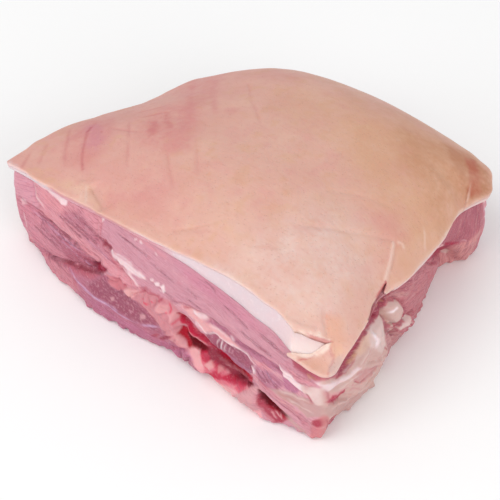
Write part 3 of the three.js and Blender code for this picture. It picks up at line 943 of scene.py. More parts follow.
meatColours = dict(
    band=(199, 143, 156), bandDeep=(198, 126, 148), bandLight=(219, 164, 172), upper=(212, 145, 155),
    end=(208, 146, 160), fibre=(183, 113, 133), lower=(207, 134, 149), dusk=(176, 97, 116),
    hollow=(146, 34, 60), hollowEdge=(148, 48, 72), bottom=(184, 114, 134), wine=(150, 80, 100),
    plum=(182, 112, 142), lilac=(196, 158, 188), fat=(229, 205, 208), lobule=(199, 133, 141),
    softPale=(220, 163, 164), salmon=(196, 118, 128), redBit=(206, 62, 88), blood=(158, 0, 30),
    crimson=(182, 28, 62), clot=(88, 0, 14), stain=(212, 88, 110), rawPink=(225, 160, 166),
    pale=(222, 172, 176), paleShade=(201, 136, 146), tube=(166, 58, 76), lens=(163, 92, 113),
    purple=(176, 110, 134), beige=(206, 171, 164), cream=(217, 191, 187), taupe=(188, 150, 147),
    taupeDark=(180, 125, 120), rose=(196, 121, 128), hollowRose=(165, 76, 90), gold=(198, 150, 116),
    blush=(218, 146, 153), bloodLine=(168, 66, 84), rust=(186, 86, 100), membrane=(232, 183, 187),
    strip=(203, 136, 147), mauve=(178, 114, 138), gloss=(240, 223, 228), peach=(216, 178, 158),
    greyRose=(200, 146, 146), crimsonDull=(175, 62, 84), groove=(172, 102, 112), greyBeige=(216, 186, 182),
    dustyPink=(206, 152, 150), lobeDeep=(182, 108, 120), lobePink=(214, 150, 148), wall=(211, 154, 165),
    seam=(154, 58, 80), speck=(205, 150, 165), tubeDark=(140, 46, 64), flapPale=(205, 150, 155),
    cornerRed=(200, 122, 126),
)


def form(rise, half, path, below=None, bed=0, crisp=2.4, torn=0.35):
    # a ridge, or a groove where the rise is negative, on a bed that itself stands out
    below = half if below is None else below
    return dict(rise=rise, half=half, path=path, below=below, bed=bed, crisp=crisp, torn=torn)


# the relief of the cut faces: rise, half width (another below the path), path as (across the face, z)
upperSeam = [(-120, 38), (-94, 40), (-70, 41), (-52, 43), (-33, 42)]
lowerSeam = [(-104, 7), (-88, 14), (-73, 21), (-56, 28), (-40, 35)]
pocketEdge = [(22, 39), (34, 32.5), (44, 29.5), (56, 26.5), (69, 24.5), (86, 26)]
longForms = [
    # the end muscle, the upper muscle and the seams between them
    form(-1.3, 1.2, [(-112, 64), (-108, 56), (-105, 50), (-98, 44), (-88, 43)]),
    form(0.3, 0.8, [(-110, 60), (-106, 52), (-100, 46)]),
    form(-1.6, 2.6, upperSeam, below=0.9),
    form(-1.4, 0.8, upperSeam, below=3.5),
    form(0.2, 0.8, [(-112, 43), (-90, 44), (-66, 45), (-46, 46)]),
    form(-0.8, 1.0, [(-47, 69), (-46, 62), (-43, 56)]),
    form(-3.0, 0.9, [(-46, 57), (-37, 56.5), (-30, 55)], below=2.4),
    form(-1.8, 0.9, [(-30, 55), (-24, 50), (-17, 45), (-8, 41)], below=2.0),
    form(1.0, 2.2, [(-33, 56), (-23, 53.5), (-12, 52), (0, 49.5)], crisp=5, torn=0.9),
    form(0.8, 1.2, [(-18, 47), (-12, 44.5), (-5, 42)], crisp=5, torn=0.9),
    form(0.5, 1.3, [(2, 50), (7, 49), (14, 48.5)]),
    form(0.4, 2.2, [(-94, 60), (-86, 58.5), (-78, 59)], crisp=5, torn=1.2),
    form(0.6, 1.8, [(-48, 69), (-45, 67), (-42, 68)], crisp=5, torn=0.8),
    form(0.4, 0.8, [(-122, 40), (-122, 26), (-123, 12)]),
    form(0.4, 4.0, [(-128, 50), (-127, 30), (-126, 8)]),
    # the lower muscles
    form(-2.6, 6.0, lowerSeam, below=0.9),
    form(-1.9, 0.9, lowerSeam, below=3.2),
    form(-1.6, 4.0, [(-60, 33), (-48, 37), (-36, 40)], below=2.0),
    form(-4.5, 1.0, [(-46, 37.5), (-40, 39), (-33, 40)], below=3.2),
    form(0.3, 0.7, [(-72, 30), (-60, 33), (-50, 36)]),
    form(0.4, 4.5, [(-95, 28), (-76, 33), (-58, 37)]),
    form(0.5, 0.8, [(-76, 19), (-62, 16), (-50, 14), (-36, 13.5), (-24, 13.5), (-8, 11)]),
    form(-0.6, 6.0, [(-40, 25), (-24, 22), (-8, 20), (4, 16)]),
    # the torn flap under the pocket
    form(3.4, 6.0, [(26, 14), (42, 12), (60, 11), (78, 11), (94, 9)], below=9.0),
    form(0.8, 3.4, [(40, 15.5), (54, 14.5), (66, 14), (82, 17)], bed=3, torn=1),
    form(0.4, 2.4, [(48, 9), (60, 10), (70, 13)], bed=2.5, torn=1),
    form(1.0, 3.5, [(36, 6), (56, 3), (74, 3)], bed=1),
    form(1.6, 4.4, [(74, 5), (84, 11), (89, 18)], bed=2, crisp=5),
    form(-1.0, 2.8, [(91, 20), (97, 14), (103, 7)], bed=1, crisp=4),
    form(-2.8, 0.9, [(92, 22), (98, 19.5), (105, 15)], below=2.8),
    form(0.8, 0.8, [(98, 9), (104, 5), (110, 4)]),
    # the opened pocket between the band and the torn flap
    form(-1.2, 1.0, [(24, 44), (44, 44.5), (62, 44), (98, 42), (113, 39.5), (131, 42)]),
    form(-3.2, 9.0, pocketEdge, below=1.6, bed=-1.6),
    form(-3.2, 1.6, pocketEdge, below=5.6, bed=-0.4, crisp=4, torn=0.3),
    form(-3.0, 3.4, [(27, 31), (31, 25), (38, 21.5), (46, 21)], below=4.0, bed=-1, crisp=4, torn=0.3),
    form(-3.0, 0.9, [(46, 22), (64, 20.5), (86, 22)], below=2.0, bed=-1),
    form(0.9, 1.6, [(25, 43), (33, 40), (41, 38)], bed=-1, crisp=5, torn=0.3),
    form(1.2, 1.4, [(28, 40), (36, 36), (44, 32.5)], bed=-2, crisp=5, torn=0.3),
    form(0.9, 1.3, [(36, 43.5), (47, 40.5), (60, 38.5), (78, 36.5)], bed=-1, crisp=5, torn=0.3),
    form(1.6, 4.4, [(47, 33), (65, 32.5), (84, 33)], bed=-2.5, crisp=4, torn=0.3),
    form(0.6, 0.6, [(52, 29.5), (54, 33), (54, 37)], bed=-2),
    form(0.6, 0.8, [(56, 29), (58, 33), (57, 37)], bed=-2),
    form(0.5, 0.6, [(61, 29), (62, 33), (61, 37)], bed=-2),
    form(0.4, 0.5, [(66, 29), (67, 32), (66, 35)], bed=-2),
    form(0.8, 0.9, [(46, 30.5), (62, 28), (78, 27.5), (88, 29)], bed=-3),
    # the rib end, with strips of fat that lead round the corner
    form(-0.6, 4.0, [(86, 37), (96, 36.5), (108, 31), (114, 27)]),
    form(1.0, 2.6, [(98, 24), (108, 22), (117, 19.5), (128, 13)]),
    form(1.2, 2.8, [(100, 44), (109, 39), (117, 36), (124, 35), (133, 34)], crisp=5, torn=0.9),
    form(0.3, 5.0, [(112, 30), (122, 27), (132, 24)]),
    form(-1.6, 3.0, [(112, 48), (122, 45), (132, 43)]),
    form(0.5, 4.0, [(124, 20), (130, 16), (134, 12)]),
]
shortForms = [
    # a porous hollow under the edge of the rind, which the marks darken with painted shadow
    form(-1.5, 6.0, [(-112, 40), (-90, 41), (-81, 45), (-68, 50), (-51, 56),
        (-40, 57)], below=5.0, crisp=4, torn=1),
    form(0.3, 2.0, [(-84, 43), (-72, 48), (-60, 52)], torn=1.4),
    # the mass of fat beside it
    form(0.4, 8.0, [(-44, 8), (-66, 8), (-92, 8)]),
    form(2.6, 7.0, [(-44, 46), (-47, 34), (-46, 22), (-41, 8)], crisp=5, torn=0.8),
    form(2.4, 8.0, [(-52, 45), (-64, 40), (-78, 34), (-92, 33), (-112, 37)], crisp=5, torn=0.8),
    form(1.8, 8.0, [(-48, 22), (-62, 21), (-80, 19), (-104, 19)], crisp=4, torn=0.8),
    form(1.0, 3.4, [(-110, 45), (-100, 42), (-92, 37), (-80, 32)], bed=1.5, crisp=5, torn=0.7),
    form(0.8, 3.0, [(-55, 44), (-51, 38), (-49, 31)], bed=1.5, crisp=4),
    form(-2.8, 2.4, [(-106, 32), (-97, 27), (-82, 16)], bed=1, crisp=4, torn=1),
    form(-1.4, 1.0, [(-45, 12), (-62, 20), (-76, 23)], bed=1, torn=1),
    form(-1.2, 0.8, [(-40, 15), (-53, 22), (-67, 30)], bed=1, torn=1),
    form(-1.2, 0.9, [(-50, 8), (-66, 12), (-84, 12)], bed=1, torn=1),
    form(-1.0, 0.8, [(-78, 28), (-88, 24), (-98, 18)], bed=1, torn=1),
    form(-1.0, 0.9, [(-70, 15), (-84, 8), (-98, 6)], torn=1),
    # a groove, nodules and torn strands towards the middle muscle
    form(-2.6, 2.4, [(-46, 53), (-42, 46), (-38, 34), (-31, 22), (-26, 6)], torn=1),
    form(0.8, 1.6, [(-36, 52), (-31, 54), (-23, 50), (-11, 41)], crisp=4, torn=1.2),
    form(0.6, 1.0, [(-34, 56), (-24, 55), (-8, 47)], torn=1.2),
    form(0.6, 1.2, [(-18, 50), (-6, 38), (2, 26)], torn=1.2),
    form(-0.8, 1.0, [(2, 50), (10, 38), (16, 24)], torn=1),
    form(0.5, 0.9, [(-4, 54), (6, 46), (20, 30), (28, 16)], torn=1.2),
    # the end lobe behind its cleft
    form(-5.0, 4.6, [(14, 52), (30, 40), (44, 28), (56, 14), (62, 2)]),
    form(0.4, 1.3, [(8, 52), (30, 42), (50, 30), (66, 26)], bed=-2, torn=1),
    form(1.2, 1.8, [(26, 47), (30, 44), (35, 41)], bed=-2, crisp=5),
    form(1.0, 1.8, [(40, 36), (46, 31), (52, 27)], bed=-1, crisp=5),
    form(2.6, 11.0, [(60, 50), (66, 34), (70, 14)]),
    form(0.4, 1.3, [(60, 52), (65, 44), (68, 34)], bed=2, torn=1.2),
    form(-0.8, 1.1, [(70, 50), (76, 44), (72, 30)], bed=2, torn=1),
    form(0.4, 1.2, [(76, 48), (80, 36), (78, 22)], bed=2, torn=1.2),
]
# smooth nodules of fat on the short cut face: place (y, z), half sizes, shear, rise
nodules = [
    dict(at=(-29, 38), half=(10, 9), shear=0.7, rise=3.8),
    dict(at=(-14, 15.5), half=(11, 5.5), shear=0.1, rise=3.6),
    dict(at=(-32, 27), half=(3.5, 3.6), shear=0.7, rise=2.2),
    dict(at=(-8, 12), half=(5, 4), shear=0.5, rise=2.0),
]
noduleForm = dict(square=2.6, torn=0.22, flat=2.2, round=0.6, moat=1.4, moatAt=1.08, moatHalf=0.12)
# lobules of soft fat that tumble down the long cut face
lobules = dict(
    path=[(-34, 38), (-18, 36), (-5, 37), (8, 37.5), (14, 32), (17, 25), (20, 17), (28, 9), (42, 5)],
    reach=6.5, scatter=0.5, edge=(0.6, 1.15), rise=2.0, bed=0.6, valley=1.5, count=26, seed=5,
)
formEnds = dict(tip=0.12, tipRise=0.15)
# what stands out looks lower than its place, seen from above, so a form is moved up by a share of its rise
slant = dict(long=(0.84, 1.17), short=(-1.19, 1.4))
standOut = 0.6
longSides = ("front", "back")
# the hidden faces are cut through the same muscles: scale and move from (across, z) to the face that shows
hiddenSides = dict(back=((-0.9, 1.3), (-8, 4)), left=((-1, 1), (-12, 0)))
# marks on the cut faces, in pixels of the photograph
longMarks = [
    # the muscles
    patch("upper", 1, 1.0, [(28, 176), (60, 192), (104, 212), (101, 236), (108, 248), (118, 262),
        (130, 275), (143, 290), (128, 288), (107, 271), (80, 248), (53, 223), (40, 211), (36, 195)]),
    patch("end", 1, 0.8, [(0, 160), (20, 170), (34, 183), (36, 195), (40, 206), (36, 208), (20, 197),
        (0, 190)]),
    patch("lower", 1, 0.8, [(0, 190), (20, 197), (38, 209), (53, 223), (80, 248), (107, 270), (99, 274),
        (85, 271), (70, 265), (60, 261), (48, 252), (30, 240), (8, 225)]),
    patch("bottom", 1, 0.8, [(8, 225), (30, 240), (48, 252), (60, 261), (70, 265), (85, 271), (99, 274),
        (107, 276), (112, 286), (122, 291), (135, 300), (150, 315), (163, 333), (175, 345), (200, 360),
        (200, 380), (100, 345), (40, 285)]),
    patch("lobule", 1, 0.8, [(106, 274), (113, 276), (128, 287), (140, 290), (152, 293), (165, 298),
        (172, 302), (181, 311), (185, 322), (181, 333), (187, 342), (193, 346), (198, 352), (206, 370),
        (196, 368), (186, 352), (176, 346), (168, 338), (156, 322), (140, 304), (128, 296), (122, 291),
        (112, 287), (107, 280)]),
    patch("wall", 1, 0.8, [(172, 302), (182, 303), (195, 309), (206, 316), (216, 322), (232, 338),
        (250, 350), (268, 360), (281, 370), (300, 388), (318, 386), (324, 400), (324, 445), (300, 432),
        (262, 392), (252, 379), (222, 354), (205, 340), (193, 329), (180, 312)]),
    patch("rawPink", 1, 0.7, [(186, 343), (196, 346), (208, 352), (222, 362), (240, 377), (255, 387),
        (262, 392), (258, 405), (264, 420), (240, 410), (220, 396), (204, 384), (198, 372), (192, 360)]),
    # the end and the upper muscle
    streak("seam", 0.55, 0.9, [(19, 196), (28, 204), (38, 209), (46, 217), (55, 225)]),
    streak("fat", 0.5, 0.7, [(34, 183), (36, 194), (40, 201), (45, 209)]),
    patch("fat", 0.8, 0.6, [(30, 179), (38, 180), (47, 185), (60, 193), (74, 197), (67, 200), (67, 205),
        (62, 204), (56, 198), (47, 190), (38, 185)], wet=0.3),
    patch("fat", 0.7, 0.5, [(60, 197), (66, 197), (68, 201), (66, 206), (62, 204)], wet=0.4),
    patch("blush", 0.6, 2.0, [(40, 190), (56, 198), (64, 206), (78, 210), (66, 214), (56, 212), (46, 202)]),
    patch("fibre", 0.65, 4.0, [(66, 211), (80, 212), (90, 224), (101, 238), (107, 248), (113, 262),
        (100, 253), (86, 241), (72, 227), (60, 216)]),
    streak("dusk", 0.4, 0.7, [(72, 212), (86, 224), (101, 239)]),
    streak("dusk", 0.35, 0.6, [(62, 216), (76, 228), (92, 242)]),
    streak("dusk", 0.3, 0.6, [(74, 222), (86, 233), (99, 246)]),
    streak("dusk", 0.3, 0.5, [(58, 214), (68, 225), (84, 240)]),
    streak("lilac", 0.3, 0.6, [(84, 236), (98, 249), (112, 262)]),
    streak("blush", 0.5, 1.4, [(108, 215), (126, 229), (150, 246), (172, 262)]),
    # painted shade as a dark line in the upper muscle
    streak("seam", 0.3, 0.8, [(102, 221), (101, 229), (100, 238)]),
    patch("hollow", 0.75, 0.6, [(99, 237), (106, 240), (113, 248), (110, 250), (104, 245)]),
    patch("fat", 0.85, 0.5, [(101, 213), (103, 213), (105, 220), (103, 221)], wet=0.3),
    patch("fat", 0.85, 0.9, [(111, 250), (118, 256), (126, 262), (136, 269), (146, 277), (146, 280),
        (138, 277), (128, 270), (119, 263), (113, 256)], wet=0.4, torn=0.9),
    streak("fat", 0.6, 0.5, [(114, 252), (124, 258), (134, 266)]),
    streak("fat", 0.5, 0.4, [(120, 266), (128, 273), (136, 283)]),
    streak("fat", 0.65, 0.7, [(128, 270), (133, 279), (140, 287)], torn=0.8),
    streak("bloodLine", 0.6, 0.7, [(110, 258), (118, 266), (125, 272)]),
    # painted shadow along the edge of the upper muscle, over the fat sliver
    streak("seam", 0.4, 0.7, [(107, 250), (113, 257), (120, 265)]),
    streak("upper", 0.6, 2.4, [(108, 262), (122, 275), (138, 289)]),
    # the middle muscle and its hollow
    streak("blush", 0.6, 3.0, [(12, 200), (17, 222), (28, 238), (42, 252)]),
    streak("fat", 0.55, 0.6, [(23, 210), (25, 219), (27, 229)]),
    patch("fat", 0.35, 0.7, [(20, 198), (26, 199), (27, 204), (22, 205)]),
    patch("fibre", 0.6, 3.0, [(44, 218), (62, 232), (84, 254), (70, 258), (52, 244), (40, 230)]),
    # painted shade above the seam, over the darker muscle
    patch("dusk", 0.75, 3.0, [(60, 238), (80, 249), (107, 270), (99, 274), (84, 270), (70, 262), (62, 250)]),
    patch("hollowEdge", 0.7, 1.6, [(82, 257), (96, 261), (107, 270), (102, 274), (88, 271)]),
    patch("hollow", 0.95, 0.8, [(95, 261), (107, 269), (107, 271), (103, 274), (96, 271)]),
    streak("hollow", 0.8, 0.8, [(60, 261), (74, 266), (86, 271), (99, 274)]),
    streak("dusk", 0.45, 0.6, [(38, 213), (52, 225), (68, 238)]),
    streak("dusk", 0.35, 0.6, [(32, 224), (46, 237), (60, 248)]),
    streak("dusk", 0.5, 0.6, [(56, 234), (70, 246), (86, 260)]),
    streak("dusk", 0.4, 0.6, [(48, 232), (62, 246), (78, 258)]),
    streak("lilac", 0.45, 0.6, [(50, 227), (66, 240), (84, 255)]),
    streak("lilac", 0.35, 0.6, [(60, 240), (72, 250), (82, 260)]),
    streak("lilac", 0.3, 0.7, [(30, 208), (44, 220), (58, 231)]),
    streak("lilac", 0.65, 0.7, [(85, 260), (89, 264), (93, 268)]),
    patch("rust", 0.6, 1.5, [(62, 263), (78, 268), (99, 275), (92, 280), (78, 275)]),
    # the bottom muscle with its silverskin
    patch("blush", 0.55, 2.5, [(42, 252), (66, 266), (70, 275), (80, 291), (70, 292), (52, 274)]),
    patch("wine", 0.9, 2.5, [(86, 284), (102, 277), (112, 288), (125, 293), (140, 306), (156, 324),
        (160, 334), (140, 324), (122, 315), (106, 303), (92, 295)]),
    patch("plum", 0.6, 2.0, [(82, 292), (104, 305), (120, 318), (140, 327), (154, 337), (140, 342),
        (115, 330), (96, 311)]),
    streak("wine", 0.55, 0.8, [(96, 303), (108, 311), (120, 321)]),
    streak("wine", 0.5, 0.8, [(118, 322), (130, 330), (144, 337)]),
    streak("wine", 0.4, 0.7, [(100, 312), (112, 321), (124, 330)]),
    streak("dusk", 0.4, 0.7, [(50, 256), (60, 266), (72, 279)]),
    patch("rust", 0.4, 1.2, [(72, 274), (76, 276), (77, 289), (73, 287)]),
    streak("lilac", 0.95, 0.75, [(70, 268), (76, 279), (88, 292), (95, 298), (103, 302), (112, 307),
        (120, 315), (130, 320), (138, 323)]),
    streak("lilac", 0.9, 0.9, [(141, 325), (150, 326), (159, 327)]),
    patch("pale", 0.6, 0.6, [(110, 297), (114, 297), (114, 301), (111, 301)]),
    patch("pale", 0.6, 0.8, [(140, 314), (146, 314), (146, 319), (140, 320)]),
    streak("pale", 0.5, 0.5, [(130, 304), (133, 307), (133, 311)]),
    streak("wine", 0.6, 1.0, [(126, 298), (140, 309), (152, 321)]),
    # lobules of soft fat
    patch("salmon", 0.9, 0.6, [(106, 274), (113, 276), (127, 286), (122, 291), (113, 287), (107, 280)]),
    patch("softPale", 0.9, 0.6, [(124, 290), (130, 288), (140, 292), (134, 297), (128, 298)], wet=0.3),
    streak("bloodLine", 0.6, 0.6, [(112, 276), (120, 281), (127, 287)]),
    patch("bloodLine", 0.5, 0.6, [(140, 287), (146, 286), (151, 291), (144, 292)]),
    streak("bloodLine", 0.65, 0.55, [(131, 296), (140, 292), (150, 293), (158, 297), (164, 302)]),
    streak("redBit", 0.95, 0.8, [(142, 299), (144, 303), (149, 304)], wet=0.4),
    streak("redBit", 0.7, 0.6, [(150, 301), (153, 303)]),
    streak("bloodLine", 0.8, 0.7, [(157, 302), (161, 300), (163, 297)]),
    patch("softPale", 0.6, 1.0, [(158, 303), (168, 306), (168, 313), (160, 314), (154, 309)], wet=0.3),
    patch("softPale", 0.6, 1.0, [(168, 314), (176, 312), (178, 318), (170, 322)], wet=0.3),
    streak("redBit", 0.8, 0.7, [(169, 303), (171, 309), (170, 314)]),
    streak("stain", 0.7, 0.6, [(164, 314), (168, 313)]),
    streak("redBit", 0.6, 0.7, [(171, 325), (175, 322), (179, 319)]),
    # painted shade along the left edge of the lobules
    streak("seam", 0.5, 0.8, [(138, 302), (150, 315), (158, 325), (167, 337)]),
    patch("softPale", 0.6, 1.0, [(170, 330), (178, 336), (188, 346), (194, 358), (184, 350)]),
    patch("plum", 0.7, 1.0, [(148, 338), (165, 342), (188, 350), (194, 360), (170, 354)]),
    patch("bloodLine", 0.9, 0.5, [(151, 336), (156, 334), (160, 334), (156, 338)]),
    patch("hollow", 0.75, 0.6, [(158, 339), (165, 336), (173, 336), (170, 338), (162, 341)], wet=0.4),
    streak("bloodLine", 0.5, 0.8, [(168, 348), (180, 348), (190, 350)]),
    # the loin band
    patch("bandDeep", 0.6, 4.0, [(176, 262), (215, 284), (245, 310), (264, 332), (240, 320), (215, 302),
        (190, 284)]),
    streak("bandLight", 0.25, 1.2, [(130, 240), (160, 262), (190, 284), (215, 304)]),
    streak("bandLight", 0.25, 1.5, [(196, 300), (222, 318), (250, 342), (276, 362)]),
    streak("fibre", 0.27, 0.7, [(164, 291), (171, 297), (178, 304)]),
    streak("fibre", 0.24, 0.6, [(187, 288), (193, 294), (198, 300)]),
    streak("fibre", 0.21, 0.6, [(204, 280), (211, 286), (217, 293)]),
    streak("fibre", 0.21, 0.6, [(186, 298), (194, 304), (203, 311)]),
    streak("fibre", 0.18, 0.6, [(116, 232), (132, 244), (150, 258)]),
    streak("fibre", 0.18, 0.6, [(150, 262), (162, 272), (176, 284)]),
    streak("fibre", 0.18, 0.6, [(222, 304), (236, 316), (250, 331)]),
    streak("fibre", 0.21, 0.8, [(258, 332), (274, 346), (291, 360)]),
    streak("fibre", 0.18, 0.7, [(240, 330), (256, 344), (274, 358)]),
    patch("fat", 0.97, 0.4, [(161, 286), (164, 284), (166, 291), (163, 294)], wet=0.4),
    patch("fat", 0.85, 0.4, [(155, 282), (159, 282), (160, 286), (156, 286)], wet=0.4),
    patch("fat", 0.7, 0.4, [(150, 278), (154, 279), (154, 281), (151, 281)]),
    patch("fat", 0.6, 0.4, [(159, 289), (162, 291), (161, 293)]),
    patch("fat", 0.55, 0.4, [(134, 238), (137, 238), (138, 240), (135, 240)]),
    patch("fat", 0.65, 0.4, [(139, 241), (141, 240), (143, 244), (141, 244)]),
    patch("fat", 0.5, 0.4, [(154, 251), (157, 253), (158, 256), (156, 255)]),
    # soft fat and a sliver of dark muscle over the pocket
    streak("seam", 0.45, 0.8, [(171, 300), (184, 304), (195, 309), (206, 316), (214, 321), (226, 331),
        (238, 341), (252, 350), (268, 360), (281, 370)]),
    patch("softPale", 0.85, 0.7, [(180, 304), (192, 308), (207, 317), (214, 325), (226, 334), (236, 343),
        (246, 353), (232, 344), (220, 337), (212, 331), (205, 332), (196, 322), (188, 314)]),
    streak("bloodLine", 0.7, 0.5, [(183, 306), (188, 308), (193, 308)]),
    streak("fat", 0.9, 0.9, [(192, 309), (200, 314), (209, 318)], wet=0.4),
    streak("fat", 0.9, 0.8, [(196, 321), (201, 327), (208, 335)], wet=0.4),
    streak("fat", 0.6, 0.7, [(187, 313), (193, 319), (198, 326)]),
    streak("fat", 0.5, 0.7, [(210, 324), (220, 330), (230, 338)]),
    streak("purple", 0.85, 1.0, [(205, 320), (212, 322), (222, 328), (229, 334)]),
    patch("purple", 0.85, 0.8, [(228, 333), (238, 340), (252, 349), (268, 359), (281, 369), (283, 375),
        (270, 368), (256, 359), (244, 350), (232, 340)]),
    streak("fat", 0.6, 0.5, [(231, 335), (232, 338), (235, 341)]),
    patch("lens", 0.97, 0.6, [(206, 334), (213, 332), (220, 337), (232, 344), (245, 352), (254, 365),
        (253, 372), (248, 373), (240, 369), (230, 362), (220, 352), (208, 343)]),
    patch("wine", 0.5, 1.2, [(226, 346), (238, 350), (250, 364), (250, 370), (240, 363), (230, 354)]),
    patch("lilac", 0.3, 0.7, [(214, 348), (222, 354), (232, 362), (242, 370), (250, 374), (252, 371),
        (244, 365), (232, 357), (222, 350)]),
    streak("fat", 0.85, 0.6, [(206, 334), (214, 333), (222, 338), (232, 344), (246, 353), (255, 365)]),
    streak("fat", 0.8, 0.5, [(220, 338), (218, 343), (217, 348)]),
    streak("fat", 0.95, 0.7, [(222, 340), (222, 345), (221, 350)]),
    streak("fat", 0.65, 0.5, [(226, 344), (225, 348), (224, 352)]),
    streak("fat", 0.35, 0.5, [(230, 347), (229, 353)]),
    streak("wine", 0.7, 0.4, [(220, 340), (219, 349)]),
    patch("fat", 0.8, 0.4, [(252, 366), (255, 366), (257, 370), (254, 374)]),
    # the opened pocket, its membrane and the stained fat below it
    patch("crimson", 0.97, 0.5, [(179, 312), (183, 318), (188, 325), (195, 331), (205, 338), (214, 346),
        (224, 353), (233, 361), (243, 369), (253, 377), (252, 382), (243, 377), (230, 367), (220, 358),
        (208, 347), (196, 338), (186, 329), (180, 320)], wet=0.6),
    patch("blood", 0.5, 0.4, [(214, 347), (224, 353), (233, 361), (243, 369), (253, 377), (252, 381),
        (243, 376), (231, 367), (220, 357)], wet=0.7),
    patch("blood", 0.85, 0.5, [(179, 312), (184, 315), (192, 325), (196, 330), (190, 329),
        (184, 322)], wet=0.6),
    patch("blood", 0.97, 0.5, [(182, 325), (188, 331), (197, 340), (208, 349), (211, 352), (204, 354),
        (195, 348), (189, 346), (184, 338), (179, 332)], wet=0.7),
    patch("clot", 0.95, 0.6, [(187, 333), (198, 339), (209, 349), (211, 353), (201, 351),
        (192, 345)], wet=0.3),
    streak("crimson", 0.95, 1.5, [(182, 316), (187, 323), (194, 331), (201, 337), (208, 343), (216, 350),
        (224, 356)], wet=0.3),
    streak("stain", 0.55, 0.9, [(206, 341), (214, 348), (220, 353)]),
    streak("blood", 0.9, 1.7, [(222, 356), (231, 363), (240, 370), (250, 377)], wet=0.3),
    streak("membrane", 0.5, 0.35, [(183, 324), (190, 332), (198, 339), (207, 346), (213, 351)]),
    patch("stain", 0.75, 1.2, [(199, 352), (212, 358), (224, 367), (234, 376), (246, 386), (240, 392),
        (228, 386), (214, 381), (205, 377), (203, 366)], torn=0.9),
    patch("softPale", 0.7, 0.9, [(192, 347), (199, 352), (203, 368), (196, 364)]),
    patch("softPale", 0.85, 1.0, [(205, 381), (222, 384), (233, 390), (228, 398), (210, 388)]),
    patch("crimson", 0.8, 0.7, [(201, 352), (209, 355), (218, 362), (228, 369), (222, 371), (212, 364),
        (204, 359)], torn=1.4),
    patch("crimson", 0.9, 0.7, [(205, 375), (214, 371), (222, 373), (232, 372), (242, 379), (250, 386),
        (240, 387), (230, 383), (222, 381), (212, 378)], torn=1.4),
    patch("stain", 0.7, 0.8, [(231, 384), (246, 387), (255, 388), (246, 393), (239, 394)]),
    patch("blood", 0.95, 0.6, [(230, 374), (236, 371), (244, 378), (252, 386), (244, 384),
        (234, 379)], wet=0.4, torn=0.8),
    patch("softPale", 0.85, 0.6, [(204, 365), (209, 362), (214, 367), (209, 371)]),
    patch("softPale", 0.6, 0.5, [(217, 366), (222, 365), (226, 370), (220, 372)]),
    patch("softPale", 0.5, 0.5, [(230, 385), (236, 386), (234, 389)]),
    # painted shadow in the gap under the membrane, over the dark muscle there
    patch("tubeDark", 0.95, 0.5, [(206, 347), (215, 352), (225, 360), (235, 369), (245, 377), (254, 384),
        (250, 388), (240, 381), (230, 374), (220, 366), (210, 358)]),
    streak("tubeDark", 0.9, 1.0, [(214, 353), (222, 361), (230, 367), (240, 375)]),
    streak("clot", 0.95, 0.8, [(236, 373), (246, 381), (254, 387)], wet=0.4),
    streak("membrane", 0.2, 0.3, [(212, 350), (224, 360), (234, 368), (244, 376), (254, 382), (262, 388)]),
    streak("stain", 0.5, 0.6, [(214, 380), (222, 384), (232, 392)]),
    # the torn flap, the end of a small muscle and the strips beyond
    patch("flapPale", 0.97, 0.5, [(258, 386), (262, 392), (256, 401), (258, 412), (246, 408), (234, 404),
        (229, 398), (240, 393), (250, 388)]),
    patch("paleShade", 0.75, 0.7, [(258, 388), (262, 393), (257, 400), (259, 411), (254, 406), (254, 396)]),
    patch("tube", 0.95, 0.5, [(257, 395), (262, 392), (274, 404), (283, 414), (289, 420), (276, 424),
        (265, 415), (257, 405)]),
    patch("blood", 0.7, 0.6, [(264, 396), (272, 402), (282, 412), (289, 419), (284, 419), (274, 412),
        (267, 405)]),
    streak("pale", 0.6, 0.45, [(271, 411), (277, 419)]),
    streak("pale", 0.6, 0.45, [(275, 411), (281, 418)]),
    streak("pale", 0.5, 0.45, [(280, 413), (282, 420)]),
    streak("paleShade", 0.7, 1.2, [(259, 406), (266, 415), (276, 423)]),
    streak("strip", 0.9, 2.6, [(254, 377), (266, 388), (276, 397), (290, 408), (302, 419), (313, 434)]),
    patch("clot", 0.9, 0.5, [(258, 389), (264, 393), (272, 401), (280, 409), (288, 416), (290, 420),
        (284, 417), (276, 411), (267, 404), (260, 397)], wet=0.3),
    streak("bloodLine", 0.65, 0.6, [(254, 375), (261, 382), (268, 389)]),
    streak("softPale", 0.8, 0.6, [(276, 398), (288, 405), (300, 413)]),
    streak("seam", 0.5, 0.5, [(279, 403), (291, 412), (303, 422)]),
    streak("taupe", 0.85, 1.6, [(284, 413), (296, 425), (309, 436)]),
    streak("softPale", 0.6, 0.5, [(274, 394), (290, 402), (304, 412), (310, 421)]),
    patch("mauve", 0.75, 1.0, [(254, 366), (262, 366), (274, 374), (285, 384), (276, 391), (266, 387),
        (258, 378)]),
    streak("dusk", 0.65, 0.5, [(256, 368), (260, 376), (267, 383)]),
    streak("dusk", 0.65, 0.5, [(267, 371), (272, 381), (278, 389)]),
    streak("dusk", 0.45, 0.45, [(262, 370), (266, 378), (270, 384)]),
    streak("lilac", 0.5, 0.5, [(265, 369), (270, 377), (276, 385)]),
    patch("blush", 0.6, 0.8, [(254, 361), (266, 364), (273, 371), (262, 369)]),
    streak("redBit", 0.5, 0.5, [(261, 364), (264, 366)]),
    patch("plum", 0.8, 0.8, [(283, 375), (291, 383), (299, 391), (294, 395), (285, 388)]),
    patch("taupe", 0.9, 0.9, [(270, 388), (284, 390), (296, 394), (306, 398), (324, 404), (324, 418),
        (308, 417), (298, 408), (286, 400), (276, 394)]),
    streak("taupeDark", 0.6, 0.5, [(276, 391), (288, 397), (302, 404)]),
    streak("taupeDark", 0.6, 0.5, [(284, 392), (298, 398), (313, 405)]),
    streak("taupeDark", 0.5, 0.5, [(282, 397), (294, 403), (308, 411)]),
